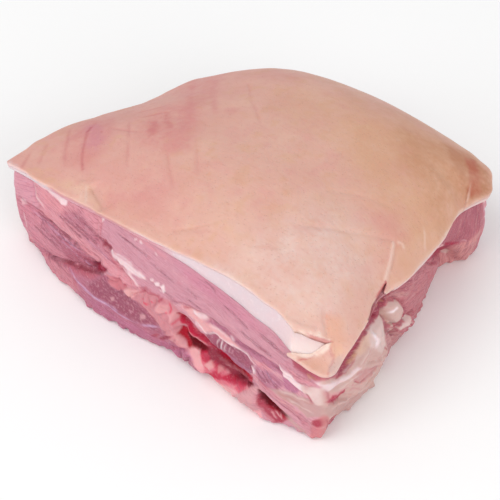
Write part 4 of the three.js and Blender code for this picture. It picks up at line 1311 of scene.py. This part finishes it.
    streak("cream", 0.6, 0.5, [(280, 390), (294, 396), (309, 402)]),
    streak("cream", 0.5, 0.5, [(288, 399), (300, 406), (314, 413)]),
    patch("fat", 0.95, 0.5, [(279, 366), (288, 372), (296, 379), (304, 388), (309, 393), (300, 390),
        (292, 383), (284, 376)], wet=0.3),
    patch("cream", 0.95, 0.6, [(300, 384), (310, 386), (324, 389), (330, 398), (328, 405), (318, 406),
        (310, 400), (304, 392)], wet=0.3),
    streak("bloodLine", 0.75, 0.6, [(306, 392), (309, 397), (312, 403)]),
    patch("upper", 0.7, 0.8, [(284, 364), (298, 374), (314, 383), (322, 386), (308, 387), (296, 380)]),
    # painted shadow, dark red, under the edge of the rind's flap
    patch("bloodLine", 0.8, 1.0, [(291, 356), (300, 363), (312, 371), (326, 380), (316, 381), (304, 375),
        (294, 367)]),
    patch("gold", 0.4, 0.5, [(306, 374), (314, 377), (318, 380), (309, 380)]),
    patch("fat", 0.9, 0.6, [(316, 382), (326, 381), (334, 381), (332, 389), (322, 388)]),
    patch("cornerRed", 0.85, 0.7, [(311, 422), (322, 416), (332, 416), (332, 442), (310, 442)]),
    patch("tube", 0.95, 0.5, [(313, 421), (320, 419), (322, 426), (317, 428), (313, 425)]),
]
shortMarks = [
    # the fat at the corner and the porous hollow under the rind, darkened with painted shadow
    patch("beige", 0.97, 0.8, [(310, 382), (336, 378), (345, 372), (353, 362), (358, 350), (366, 335),
        (374, 320), (381, 312), (385, 326), (388, 345), (390, 358), (382, 374), (374, 390), (358, 402),
        (346, 412), (330, 418), (322, 445), (305, 445)]),
    # painted shadow under the edge of the rind
    patch("hollowRose", 0.95, 0.7, [(335, 379), (340, 366), (341, 356), (350, 350), (356, 341), (364, 327),
        (371, 314), (373, 322), (366, 334), (360, 342), (357, 351), (352, 362), (344, 372)]),
    # a paler streak that is also painted light, lifting the shade in the hollow under the rind
    streak("peach", 0.75, 1.3, [(350, 363), (354, 356), (358, 348), (361, 342), (364, 336)], torn=1.2),
    streak("gold", 0.7, 1.0, [(345, 364), (350, 358), (354, 352)], torn=1.5),
    streak("cream", 0.6, 0.9, [(341, 373), (346, 368), (350, 362)], torn=1.5),
    streak("bloodLine", 0.6, 0.8, [(342, 364), (344, 357), (350, 352), (356, 344)]),
    # painted shadow under the edge of the rind, by the slit
    patch("hollowRose", 0.95, 0.8, [(370, 318), (377, 300), (384, 283), (391, 286), (388, 294), (384, 304),
        (381, 313), (375, 319)]),
    streak("hollow", 0.9, 0.8, [(368, 318), (372, 315), (375, 313)]),
    streak("hollow", 0.8, 0.8, [(380, 294), (384, 287), (387, 283)]),
    streak("gold", 0.5, 0.6, [(375, 307), (378, 302), (381, 298)], torn=1.5),
    patch("fat", 0.9, 0.8, [(320, 385), (336, 380), (346, 375), (356, 366), (360, 368), (350, 377),
        (338, 384), (326, 391)], wet=0.3),
    patch("cream", 0.8, 1.2, [(366, 330), (374, 322), (380, 315), (383, 328), (385, 345), (380, 352),
        (372, 350), (366, 342)], wet=0.4),
    # a painted highlight on the fat
    streak("gloss", 0.9, 1.2, [(371, 332), (375, 339), (376, 347)], wet=0.9),
    patch("peach", 0.6, 1.2, [(355, 352), (363, 339), (369, 331), (368, 345), (360, 357)]),
    patch("greyRose", 0.85, 0.9, [(352, 378), (360, 370), (372, 368), (381, 365), (372, 375), (362, 382),
        (354, 383)]),
    streak("bloodLine", 0.7, 0.5, [(354, 381), (359, 383), (364, 379)]),
    streak("bloodLine", 0.5, 0.5, [(368, 370), (374, 368), (380, 366)]),
    patch("blush", 0.6, 1.0, [(324, 392), (331, 394), (338, 391), (346, 387), (343, 394), (334, 404),
        (326, 405)]),
    patch("crimsonDull", 0.95, 0.6, [(328, 402), (331, 396), (337, 395), (345, 389), (344, 394), (339, 400),
        (332, 404)], wet=0.2),
    # painted shade in the crease at the corner
    streak("hollowRose", 0.7, 0.7, [(324, 390), (327, 396), (329, 402)]),
    streak("greyRose", 0.7, 0.8, [(347, 392), (353, 388), (361, 390)]),
    patch("taupe", 0.7, 1.2, [(324, 408), (340, 402), (356, 394), (374, 386), (370, 394), (346, 412),
        (326, 418)]),
    streak("greyRose", 0.6, 0.6, [(334, 397), (346, 389), (358, 384), (372, 377)]),
    streak("cream", 0.6, 0.5, [(330, 409), (348, 400), (366, 389)]),
    streak("cream", 0.6, 0.6, [(336, 391), (348, 382), (360, 374)]),
    streak("greyRose", 0.5, 0.6, [(362, 366), (366, 358), (371, 351)]),
    streak("cream", 0.5, 0.6, [(358, 366), (364, 358), (369, 350)]),
    streak("greyRose", 0.5, 0.5, [(372, 364), (379, 356), (385, 352)]),
    patch("cornerRed", 0.85, 0.7, [(305, 420), (322, 414), (328, 417), (331, 432), (328, 442), (305, 445)]),
    streak("tube", 0.6, 0.8, [(325, 419), (327, 423), (327, 429)]),
    # nodules, the groove beside them and torn strands
    patch("groove", 0.6, 0.7, [(381, 313), (386, 306), (388, 322), (388, 330), (392, 332), (399, 335),
        (402, 340), (394, 350), (389, 352), (387, 338), (384, 325)]),
    patch("greyRose", 0.9, 0.8, [(386, 330), (394, 329), (403, 333), (401, 342), (394, 351), (388, 350),
        (385, 340)]),
    patch("dustyPink", 0.7, 0.6, [(388, 338), (392, 335), (396, 342), (392, 348), (388, 346)]),
    # painted shade in the groove by the nodules
    streak("hollowRose", 0.7, 0.6, [(384, 347), (388, 351)]),
    patch("beige", 0.98, 0.5, [(383, 309), (388, 303), (397, 300), (401, 306), (405, 313), (400, 320),
        (395, 325), (390, 327), (387, 320), (384, 315)], wet=0.6),
    # a painted highlight on the nodule
    streak("gloss", 0.9, 1.1, [(389, 314), (393, 311), (398, 307)], wet=1),
    streak("peach", 0.4, 1.2, [(384, 310), (386, 316), (389, 323)]),
    patch("greyBeige", 0.98, 0.5, [(405, 314), (411, 317), (412, 323), (404, 328), (397, 333), (396, 327),
        (401, 321)], wet=0.5),
    # painted shade between the two nodules
    streak("hollowRose", 0.9, 0.7, [(406, 312), (400, 321), (393, 328)]),
    patch("beige", 0.8, 0.4, [(389, 328), (393, 327), (394, 332), (390, 333)]),
    # painted shade beside the small nodule
    streak("hollowRose", 0.7, 0.5, [(392, 334), (396, 328)]),
    streak("groove", 0.7, 0.6, [(400, 303), (404, 309), (407, 314)]),
    streak("groove", 0.7, 0.8, [(382, 318), (385, 328), (388, 338)]),
    patch("dustyPink", 0.75, 0.7, [(387, 297), (393, 292), (402, 290), (410, 292), (409, 297),
        (398, 297)], torn=1.2),
    streak("dustyPink", 0.55, 0.8, [(406, 302), (415, 294), (425, 283)], torn=1.2),
    streak("dustyPink", 0.45, 0.8, [(410, 312), (418, 303), (426, 294)], torn=1.2),
    streak("dustyPink", 0.4, 0.8, [(404, 296), (412, 287), (421, 276)], torn=1.2),
    streak("dustyPink", 0.4, 0.8, [(414, 318), (420, 310), (424, 302)], torn=1.2),
    streak("groove", 0.5, 0.6, [(408, 306), (417, 297), (426, 287)]),
    streak("groove", 0.5, 0.6, [(404, 310), (410, 306), (416, 300)]),
    streak("groove", 0.45, 0.6, [(420, 292), (428, 282), (435, 270)]),
    streak("pale", 0.85, 0.7, [(412, 281), (414, 277), (416, 274)]),
    patch("groove", 0.5, 1.5, [(388, 291), (400, 284), (412, 276), (425, 262), (428, 268), (414, 282),
        (400, 292), (390, 295)]),
    # the end lobe and the cleft in front of it
    patch("lobeDeep", 0.8, 1.5, [(434, 252), (452, 228), (463, 206), (492, 186), (492, 215), (470, 238),
        (458, 242)]),
    patch("lobePink", 0.9, 1.2, [(440, 254), (458, 244), (470, 240), (482, 230), (470, 260), (440, 268)]),
    patch("crimsonDull", 0.95, 0.7, [(425, 260), (433, 251), (440, 246), (450, 243), (458, 241), (452, 246),
        (444, 251), (436, 257), (430, 261)], wet=0.2),
    streak("crimsonDull", 0.85, 0.8, [(440, 248), (448, 245), (458, 242)]),
    patch("pale", 0.9, 0.5, [(436, 249), (441, 244), (446, 246), (443, 248)], wet=0.4),
    patch("beige", 0.9, 0.5, [(440, 251), (446, 249), (450, 250), (447, 254), (442, 253)], wet=0.4),
    streak("hollow", 0.75, 1.0, [(425, 262), (431, 264), (438, 262)]),
    streak("groove", 0.6, 0.7, [(466, 210), (465, 224), (463, 237)]),
    streak("groove", 0.6, 0.7, [(472, 206), (471, 220), (468, 236)]),
    streak("groove", 0.5, 0.7, [(480, 204), (477, 218), (473, 232)]),
    streak("dustyPink", 0.5, 0.7, [(463, 216), (460, 226), (457, 237)]),
    streak("dustyPink", 0.5, 0.7, [(478, 210), (476, 220), (475, 230)]),
    streak("dustyPink", 0.4, 0.7, [(486, 206), (484, 216), (480, 226)]),
    streak("pale", 0.65, 0.5, [(461, 241), (464, 240), (467, 241)]),
    streak("crimsonDull", 0.5, 0.6, [(482, 210), (485, 216), (486, 222)]),
    streak("pale", 0.45, 0.5, [(445, 252), (446, 258), (446, 264)]),
]
markRise = dict(
    fat=0.5, membrane=0.4, cream=0.4, gloss=0.3, lilac=0.2, pale=0.2, softPale=0.3, peach=0.2,
    seam=-0.5, hollow=-0.9, clot=-0.9, blood=-0.5, bloodLine=-0.4, groove=-0.5, tube=-0.3, dusk=-0.2,
)
fibreRuns = dict(  # turn in degrees, and how strongly the fibres show
    upper=(-7, 0.6), fibre=(-7, 1.1), end=(20, 0.5), lower=(0, 0.9), bottom=(-6, 0.9),
    wall=(-20, 0.7), lens=(-2, 0.8), strip=(-23, 0.7), dusk=(-2, 1.1), wine=(-6, 0.8),
)
smoothColours = (  # fat and what it is torn into shows no fibres
    "fat", "beige", "cream", "taupe", "greyBeige", "peach", "membrane", "gloss", "softPale", "lobule",
    "salmon", "pale",
)
bloodColours = ("blood", "clot", "crimson", "crimsonDull", "stain", "redBit", "bloodLine")
facePaints = dict(
    long=dict(colour="band", turn=-11.0, lobeFrom=far, lobeTurn=-11.0, show=0.4),
    short=dict(colour="rose", turn=-19.0, lobeFrom=36, lobeTurn=78.0, show=0.9),  # the lobe's fibres stand
    wet=0.15, smooth=0.9,
    pitted=("wine", "lens"), speckSize=1.15, specks=(0.25, 0.6), speckTint=0.5,
    fatFrom=1.2, fatTo=0.85, fatPlain=0.85, bloodTo=2,
    fibreSize=(12, 1.15), fibreApart=0.37, shownSeed=5, hiddenSeed=4,
)
undersidePaint = dict(
    blots=[(22, 0.6), (8, 0.4)], fatty=(0.05, 0.4), dark=(0.1, 0.5), darkTint=0.6,
    wet=0.2, grain=0.5, turn=12.0, seed=3,
)


def formRise(places, forms, lean, warp):
    rise = np.zeros(len(places))
    for item in forms:
        path = np.array(item["path"], float) + np.array(lean) * (standOut * item["rise"] + item["bed"])
        gap, share, side = alongPath(places, path)
        side = side * np.sign(path[-1][0] - path[0][0])
        half = np.where(side > 0, item["half"], item["below"])
        gap = gap + item["torn"] * item["half"] ** 0.5 * warp
        ends = formEnds["tipRise"] + (1 - formEnds["tipRise"]) * fadeEnds(share, formEnds["tip"])
        rise += item["rise"] * bell(gap, half, item["crisp"]) * ends
    return rise


def noduleRise(places, lean, warp):
    spec = noduleForm
    rise = np.zeros(len(places))
    for item in nodules:
        rel = places - np.array(item["at"]) - np.array(lean) * standOut * item["rise"]
        a = np.abs(rel[:, 0] / item["half"][0])
        b = np.abs((rel[:, 1] + item["shear"] * rel[:, 0]) / item["half"][1])
        r = (a ** spec["square"] + b ** spec["square"]) ** (1 / spec["square"])
        r = np.maximum(r + spec["torn"] * warp, 0)
        rise += item["rise"] * np.clip(1 - r ** spec["flat"], 0, 1) ** spec["round"]
        rise -= spec["moat"] * bell(r - spec["moatAt"], spec["moatHalf"])
    return rise


def lobuleRise(places):
    spec = lobules
    rng = np.random.RandomState(spec["seed"])
    middle = curveAt(spec["path"], rng.uniform(0, 1, spec["count"]))
    cells = middle + rng.normal(0, spec["reach"] * spec["scatter"], middle.shape)
    apart = np.sqrt(((places[:, None, :] - cells[None]) ** 2).sum(-1))
    apart.sort(axis=1)
    gap, _, _ = alongPath(places, spec["path"])
    inside = 1 - ease(gap / spec["reach"], *spec["edge"])
    return inside * (spec["rise"] * (1 - bell(apart[:, 1] - apart[:, 0], spec["valley"])) + spec["bed"])


def placesOn(side, points):
    # coordinates on a cut face: across it, and z
    places = points[:, [0, 2] if side in longSides else [1, 2]]
    if side in hiddenSides:
        scale, move = hiddenSides[side]
        places = places * np.array(scale) + np.array(move)
    return places


def faceRise(side, points, warp):
    places = placesOn(side, points)
    if side in longSides:
        return formRise(places, longForms, slant["long"], warp) + lobuleRise(places)
    return formRise(places, shortForms, slant["short"], warp) + noduleRise(places, slant["short"], warp)


def fibreAt(places, turn, seed):
    # coordinates for streaks: short across the fibres and long along them
    long, short = facePaints["fibreSize"]
    angle = np.radians(turn)
    along = places[:, 0] * np.cos(angle) + places[:, 1] * np.sin(angle)
    across = -places[:, 0] * np.sin(angle) + places[:, 1] * np.cos(angle)
    return np.c_[along / long, across / short, np.round(turn) * facePaints["fibreApart"] + seed]


def facePaint(side, points, marks, warp):
    # colour, wetness, fibre coordinates and strength, and the fine rise of what is painted
    spec = facePaints
    look = spec["long" if side in longSides else "short"]
    places = placesOn(side, points)
    tint = coated(len(places), meatColours, look["colour"])
    turn = np.where(places[:, 0] > look["lobeFrom"], look["lobeTurn"], look["turn"])
    strength = np.full(len(places), look["show"])
    wet = np.full(len(places), spec["wet"])
    rise, pitted = np.zeros(len(places)), np.zeros(len(places))
    for mark in marks:
        colour = mark["colour"]
        if side in hiddenSides and colour in bloodColours:
            continue
        weight = markWeight(mark, places, warp)
        covered = mark["tint"] * weight
        tint = mixTint(tint, meatColours[colour], covered)
        rise += markRise.get(colour, 0) * covered
        pitted = np.maximum(pitted * (1 - weight), weight * (colour in spec["pitted"]))
        if mark["wet"] is not None:
            wet += (mark["wet"] - wet) * weight
        if colour in smoothColours:
            strength *= 1 - spec["smooth"] * covered
        if colour in fibreRuns:
            angle, show = fibreRuns[colour]
            turn = np.where(weight > 0.5, angle, turn)
            strength += (show - strength) * weight
    specks = ease(softNoise(points, spec["speckSize"], seed=53), *spec["specks"])
    tint = mixTint(tint, meatColours["speck"], spec["speckTint"] * pitted * specks)
    # neither fat nor blood shows fibres
    strip, cream, blood, seam = (lin(meatColours[name]) for name in ("strip", "cream", "blood", "seam"))
    fatty = ease(tint.mean(axis=1), strip.mean() * spec["fatFrom"], cream.mean() * spec["fatTo"])
    bloodless = ease(tint[:, 1], blood[1] * spec["bloodTo"], seam[1])
    grain = (1 - spec["fatPlain"] * fatty) * bloodless * strength
    fibre = fibreAt(places, turn, spec["hiddenSeed" if side in hiddenSides else "shownSeed"])
    rise += meatPiece["fatLump"] * (1 - strength) * softNoise(points, meatPiece["fatLumpSize"], seed=55)
    drawnOut = fibre * np.array([1, meatPiece["fibreLong"], 1])
    rise += meatPiece["fibreRise"] * grain * softNoise(drawnOut, 1, seed=54)
    return dict(tint=tint, wet=wet, fibre=fibre, grain=grain, fine=rise)


def meatColumns():
    # round the block: shares on the sheet and along the face, top and foot, and the face's name
    parts = []
    for side, count in meatPiece["columns"].items():
        s = np.arange(count) / count
        s = s if side in ("front", "right") else 1 - s
        u, v = dict(front=(s, 0 * s), right=(0 * s + 1, s), back=(s, 0 * s + 1), left=(0 * s, s))[side]
        foot = np.c_[curveAt(meatPiece["foot"][side], s), 0 * s]
        parts.append((u, v, s, meatTop(u, v), foot, np.full(count, side)))
    return [np.concatenate(part) for part in zip(*parts)]


def evenOut(apart, reach):
    # weights that take each column together with its neighbours
    blend = bell(apart, reach)
    return blend / blend.sum(axis=1, keepdims=True)


def buildMeat():
    spec = meatPiece
    u, v, shares, top, foot, sides = meatColumns()
    columns, rows = len(sides), spec["rows"]
    onFace = {side: sides == side for side in spec["columns"]}
    run = np.r_[0, np.cumsum(np.linalg.norm(np.diff(foot, axis=0), axis=1))]
    apart = np.abs(run[:, None] - run[None])
    apart = np.minimum(apart, run[-1] - apart)
    # outward directions turn gently at the block's corners, which are rounder than the rind's
    outward = unit(bell(apart, spec["cornerTurn"]) @ outwardOf(foot))
    blend = evenOut(apart, spec["cornerRound"])
    top, foot = blend @ top, blend @ foot
    t = np.linspace(0, 1, rows + 1)[:, None, None]
    points = top[None] * (1 - t) + foot[None] * t

    # relief
    warp = lumpy(points, spec["torn"], seed=51)
    rise = np.zeros((rows + 1, columns))
    for side, mine in onFace.items():
        rises = faceRise(side, points[:, mine].reshape(-1, 3), warp[:, mine].ravel())
        rise[:, mine] = rises.reshape(rows + 1, -1)
    share = t[..., 0]
    fromTop = ease(share, 0, spec["topEdge"])
    fromCorner = fadeEnds(shares, spec["cornerTip"])
    swell = spec["swell"] * np.sin(math.pi * share)
    swell = swell + (rise * fromCorner + lumpy(points, spec["lumps"], seed=61)) * fromTop
    under = np.clip((spec["footRound"] - points[..., 2]) / spec["footRound"], 0, 1)
    lowered = points * np.array([1, 1, spec["raggedHigh"]])
    ragged = lumpy(lowered, spec["ragged"], seed=71) * ease(under, *spec["raggedFrom"])
    tuck = spec["footRound"] * (1 - np.sqrt(1 - under ** 2))
    out = swell * (1 - spec["footSwell"] * under) + ragged - tuck

    # paint: the marks are set on the two faces that show, and the hidden ones take them over
    relieved = points + outward[None] * out[..., None]
    pinned = {}
    for side, marks in (("front", longMarks), ("right", shortMarks)):
        mine = onFace[side]
        places = placesOn(side, points[:, mine].reshape(-1, 3))
        pinned[side] = pinMarks(marks, relieved[:, mine].reshape(-1, 3), places)
    pinned["back"], pinned["left"] = pinned["front"], pinned["right"]
    look = {key: np.zeros((rows + 1, columns, 3)) for key in ("tint", "fibre")}
    look.update({key: np.zeros((rows + 1, columns)) for key in ("wet", "grain", "fine")})
    for side, mine in onFace.items():
        painted = facePaint(side, points[:, mine].reshape(-1, 3), pinned[side], warp[:, mine].ravel())
        for key, value in painted.items():
            look[key][:, mine] = value.reshape(rows + 1, -1, *value.shape[1:])
    atCorner = bell(np.minimum(shares, 1 - shares), spec["cornerShare"])[None, :, None]
    blended = np.einsum("ij,rjc->ric", evenOut(apart, spec["cornerLead"]), look["tint"])
    tint = look["tint"] + (blended - look["tint"]) * atCorner
    grain = look["grain"] * (1 - atCorner[..., 0])
    out = out + look["fine"] * fromCorner * fromTop * (1 - under)
    points = points + outward[None] * out[..., None]

    # the hidden top follows the fat, and the foot is flat
    flat = points.reshape(-1, 3)
    first = np.arange(columns)
    _, faces = joinRings(points[1:], first, columns)
    topPoints, topFaces = joinRings(capRings(u, v, meatTop, spec["topDepths"]), first, len(flat))
    rim, middle = points[-1], points[-1].mean(axis=0)
    footRings = [rim + (middle - rim) * depth for depth in spec["footDepths"]] + [middle[None]]
    footPoints, footFaces = joinRings(footRings, first + rows * columns, len(flat) + len(topPoints))
    faces += footFaces + [face[::-1] for face in topFaces]
    extra = np.concatenate([topPoints, footPoints])
    below = undersidePaint
    blot = lumpy(extra, below["blots"], seed=81)
    extraTint = coated(
        len(extra), meatColours, "rose",
        ("fat", ease(blot, *below["fatty"])), ("dusk", below["darkTint"] * ease(-blot, *below["dark"])),
    )
    extraFibre = fibreAt(extra[:, :2], np.full(len(extra), below["turn"]), below["seed"])
    meat = makeObject(
        "leanMeat", np.concatenate([flat, extra]) + shift, faces,
        tint=np.concatenate([tint.reshape(-1, 3), extraTint]),
        wet=np.r_[look["wet"].ravel(), np.full(len(extra), below["wet"])],
        grain=np.r_[grain.ravel(), np.full(len(extra), below["grain"])],
        fibreAt=np.concatenate([look["fibre"].reshape(-1, 3), extraFibre]),
    )
    print("lean meat:", len(meat.data.polygons), "faces")
    return meat


# finishes

def feed(tree, socket, value):
    # a link from another node, or a plain value
    if isinstance(value, bpy.types.NodeSocket):
        tree.links.new(value, socket)
    else:
        socket.default_value = value


def addNode(tree, kind, inputs=None, **settings):
    node = tree.nodes.new(kind)
    for name, value in settings.items():
        setattr(node, name, value)
    for name, value in (inputs or {}).items():
        feed(tree, node.inputs[name], value)
    return node


def readValue(tree, name, kind="Fac"):
    return addNode(tree, "ShaderNodeAttribute", attribute_name=name).outputs[kind]


def objectPlace(tree):
    return addNode(tree, "ShaderNodeTexCoord").outputs["Object"]


def spread(tree, value, low, high, outLow=0.0, outHigh=1.0):
    inputs = {"Value": value, "From Min": low, "From Max": high, "To Min": outLow, "To Max": outHigh}
    return addNode(tree, "ShaderNodeMapRange", inputs).outputs["Result"]


def combine(tree, a, b, kind="MULTIPLY"):
    return addNode(tree, "ShaderNodeMath", {0: a, 1: b}, operation=kind).outputs["Value"]


def mixColour(tree, share, under, colour):
    node = addNode(tree, "ShaderNodeMix", data_type="RGBA")
    sockets = {socket.identifier: socket for socket in (*node.inputs, *node.outputs)}
    feed(tree, sockets["Factor_Float"], share)
    feed(tree, sockets["A_Color"], under)
    feed(tree, sockets["B_Color"], (*lin(colour), 1))
    return sockets["Result_Color"]


def noisesOf(tree, spec, **vectors):
    # each noise: what it follows, scale, detail and roughness
    noises = {}
    for name, (follows, scale, detail, rough) in spec["noises"].items():
        inputs = {"Vector": vectors[follows], "Scale": scale, "Detail": detail, "Roughness": rough}
        noises[name] = addNode(tree, "ShaderNodeTexNoise", inputs).outputs["Fac"]
    return noises


def tinted(tree, noises, spec, **shares):
    # the painted colour with tones over it: noise, where it starts and is full, how full, and the colour
    colour = readValue(tree, "tint", "Color")
    for name, low, high, most, tone in spec["tones"]:
        share = spread(tree, noises[name], low, high, 0.0, most)
        if name in shares:
            share = combine(tree, share, shares[name])
        colour = mixColour(tree, share, colour, tone)
    return colour


def heaped(tree, noises, heights):
    # the noises in a heap, each at its height
    total = 0.0
    for name, height in heights.items():
        total = combine(tree, combine(tree, noises[name], height), total, "ADD")
    return total


def newFinish(name):
    material = bpy.data.materials.new(name)
    material.use_nodes = True
    tree = material.node_tree
    return material, tree, tree.nodes["Principled BSDF"]


def setFinish(tree, shader, colour, roughness, height, spec):
    bump = addNode(tree, "ShaderNodeBump", {"Height": height, "Distance": spec["bump"], "Strength": 1.0})
    sockets = {"Base Color": colour, "Roughness": roughness, "Normal": bump.outputs["Normal"]}
    for name, value in (sockets | spec["sockets"]).items():
        feed(tree, shader.inputs[name], value)


meatFinish = dict(
    noises=dict(
        broad=("fibre", 1.5, 4.0, 0.62), fine=("fibre", 2.6, 3.0, 0.6),
        mottle=("spot", 120.0, 4.0, 0.6), speck=("spot", 900.0, 2.0, 0.5),
    ),
    tones=[
        ("broad", 0.52, 0.36, 0.7, (150, 78, 98)), ("fine", 0.55, 0.75, 0.42, (228, 182, 190)),
        # the pale speck tone is painted glints on the wet muscle
        ("mottle", 0.55, 0.8, 0.22, (196, 104, 122)), ("speck", 0.6, 0.75, 0.22, (238, 206, 208)),
    ],
    speckEverywhere=0.3, roughness=(0.3, 0.7, 0.4, 0.54), wetter=0.24,
    fibreHeights=dict(broad=0.6, fine=0.5), mottleHeight=0.35, bump=0.00105,
    sockets={
        "Subsurface Weight": 0.16, "Subsurface Radius": (1.0, 0.4, 0.3), "Subsurface Scale": 0.003,
        "IOR": 1.4, "Specular IOR Level": 0.1, "Coat Weight": 0.02, "Coat Roughness": 0.2,
    },
)


def leanFinish():
    spec = meatFinish
    material, tree, shader = newFinish("moistMuscle")
    grain = readValue(tree, "grain")
    noises = noisesOf(tree, spec, fibre=readValue(tree, "fibreAt", "Vector"), spot=objectPlace(tree))
    mottle = noises["mottle"]
    specks = combine(tree, grain, spec["speckEverywhere"], "ADD")
    colour = tinted(tree, noises, spec, broad=grain, fine=grain, speck=specks)
    wetter = combine(tree, readValue(tree, "wet"), spec["wetter"])
    rough = combine(tree, spread(tree, mottle, *spec["roughness"]), wetter, "SUBTRACT")
    height = combine(tree, heaped(tree, noises, spec["fibreHeights"]), grain)
    height = combine(tree, height, combine(tree, mottle, spec["mottleHeight"]), "ADD")
    setFinish(tree, shader, colour, rough, height, spec)
    return material


skinFinish = dict(
    noises=dict(
        hair=("hairWay", 1.0, 3.0, 0.6), cloud=("spot", 45.0, 4.0, 0.6), mottle=("spot", 190.0, 4.0, 0.6),
    ),
    tones=[
        ("cloud", 0.5, 0.75, 0.3, (208, 146, 132)), ("cloud", 0.48, 0.28, 0.25, (232, 194, 172)),
        ("mottle", 0.55, 0.75, 0.16, (204, 140, 122)), ("hair", 0.56, 0.75, 0.2, (200, 138, 120)),
        ("pore", 0.0, 1.0, 0.04, (176, 112, 96)),
    ],
    hairTurn=48, hairScale=(70.0, 620.0, 300.0), poreScale=420.0, pores=(0.28, 0.05),
    roughness=(0.3, 0.7, 0.46, 0.58), heights=dict(mottle=0.5, hair=0.3, pore=-0.35), bump=0.0005,
    sockets={
        "Subsurface Weight": 0.14, "Subsurface Radius": (1.0, 0.5, 0.35), "Subsurface Scale": 0.004,
        "IOR": 1.42, "Specular IOR Level": 0.25,
    },
)


def rindFinish():
    spec = skinFinish
    material, tree, shader = newFinish("paleRind")
    spot = objectPlace(tree)
    turn = (0, 0, math.radians(spec["hairTurn"]))
    hairs = {"Vector": spot, "Rotation": turn, "Scale": spec["hairScale"]}
    hairWay = addNode(tree, "ShaderNodeMapping", hairs).outputs["Vector"]
    noises = noisesOf(tree, spec, spot=spot, hairWay=hairWay)
    pores = addNode(tree, "ShaderNodeTexVoronoi", {"Vector": spot, "Scale": spec["poreScale"]})
    noises["pore"] = spread(tree, pores.outputs["Distance"], *spec["pores"])
    rough = spread(tree, noises["mottle"], *spec["roughness"])
    height = heaped(tree, noises, spec["heights"])
    setFinish(tree, shader, tinted(tree, noises, spec), rough, height, spec)
    return material


whiteFinish = dict(
    noises=dict(cloud=("spot", 70.0, 4.0, 0.6), grainy=("spot", 520.0, 3.0, 0.6)),
    tones=[("cloud", 0.5, 0.75, 0.3, (224, 190, 196)), ("grainy", 0.55, 0.75, 0.25, (242, 228, 228))],
    roughness=(0.3, 0.7, 0.36, 0.5), heights=dict(cloud=0.6, grainy=0.4), bump=0.0004,
    sockets={
        "Subsurface Weight": 0.25, "Subsurface Radius": (1.0, 0.6, 0.5), "Subsurface Scale": 0.005,
        "IOR": 1.45, "Specular IOR Level": 0.25,
    },
)


def fatFinish():
    spec = whiteFinish
    material, tree, shader = newFinish("whiteFat")
    noises = noisesOf(tree, spec, spot=objectPlace(tree))
    rough = spread(tree, noises["cloud"], *spec["roughness"])
    height = heaped(tree, noises, spec["heights"])
    setFinish(tree, shader, tinted(tree, noises, spec), rough, height, spec)
    return material


# pieces in place

def place(piece, finish, node):
    piece.data.materials.clear()
    piece.data.materials.append(finish)
    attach(piece, "root")
    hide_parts(node)


place(buildRind(), rindFinish(), "fat_layer")
place(buildFat(), fatFinish(), "fat_layer")
place(buildMeat(), leanFinish(), "meat")


# stage, light and camera

studio = dict(
    floor=(254, 254, 254), floorSize=8.0, floorRough=0.9, sky=0.68,
    aim=(0, 0, 0.04),
    lamps=dict(
        key=dict(at=(-0.9, -2.0, 3.5), size=3.2, power=37),
        frontFill=dict(at=(-1.25, -3.25, 1.1), size=2.5, power=31),
        rightFill=dict(at=(3.25, -1.25, 1.5), size=2.5, power=42),
    ),
)


def buildFloor():
    half = studio["floorSize"] / 2
    mesh = bpy.data.meshes.new("floor")
    corners = [(-half, -half, 0), (half, -half, 0), (half, half, 0), (-half, half, 0)]
    mesh.from_pydata(corners, [], [(0, 1, 2, 3)])
    floor = bpy.data.objects.new("floor", mesh)
    bpy.context.scene.collection.objects.link(floor)
    material, _, shader = newFinish("paleFloor")
    shader.inputs["Base Color"].default_value = (*lin(studio["floor"]), 1)
    shader.inputs["Roughness"].default_value = studio["floorRough"]
    mesh.materials.append(material)


def buildLight(name, spec):
    data = bpy.data.lights.new(name, "AREA")
    data.shape = "DISK"
    data.size = spec["size"]
    data.energy = spec["power"]
    lamp = bpy.data.objects.new(name, data)
    lamp.location = spec["at"]
    lamp.rotation_euler = (Vector(studio["aim"]) - Vector(spec["at"])).to_track_quat("-Z", "Y").to_euler()
    bpy.context.scene.collection.objects.link(lamp)


def buildWorld():
    world = bpy.data.worlds.new("studio")
    world.use_nodes = True
    back = world.node_tree.nodes["Background"]
    back.inputs["Color"].default_value = (1, 1, 1, 1)
    back.inputs["Strength"].default_value = studio["sky"]
    bpy.context.scene.world = world


def buildCamera():
    back = Vector(viewAxes()[2])
    data = bpy.data.cameras.new("camera")
    data.sensor_width = camera["sensor"]
    data.lens = camera["focal"] * data.sensor_width / camera["picture"]
    data.clip_end = camera["sight"]
    eye = bpy.data.objects.new("camera", data)
    eye.location = (Vector(camera["target"]) + Vector(shift) + back * camera["distance"]) * mm
    eye.rotation_euler = back.to_track_quat("Z", "Y").to_euler()
    bpy.context.scene.collection.objects.link(eye)
    bpy.context.scene.camera = eye


buildFloor()
for name, spec in studio["lamps"].items():
    buildLight(name, spec)
buildWorld()
buildCamera()
bpy.context.scene.view_settings.view_transform = "Standard"
print("stage, light and camera placed")
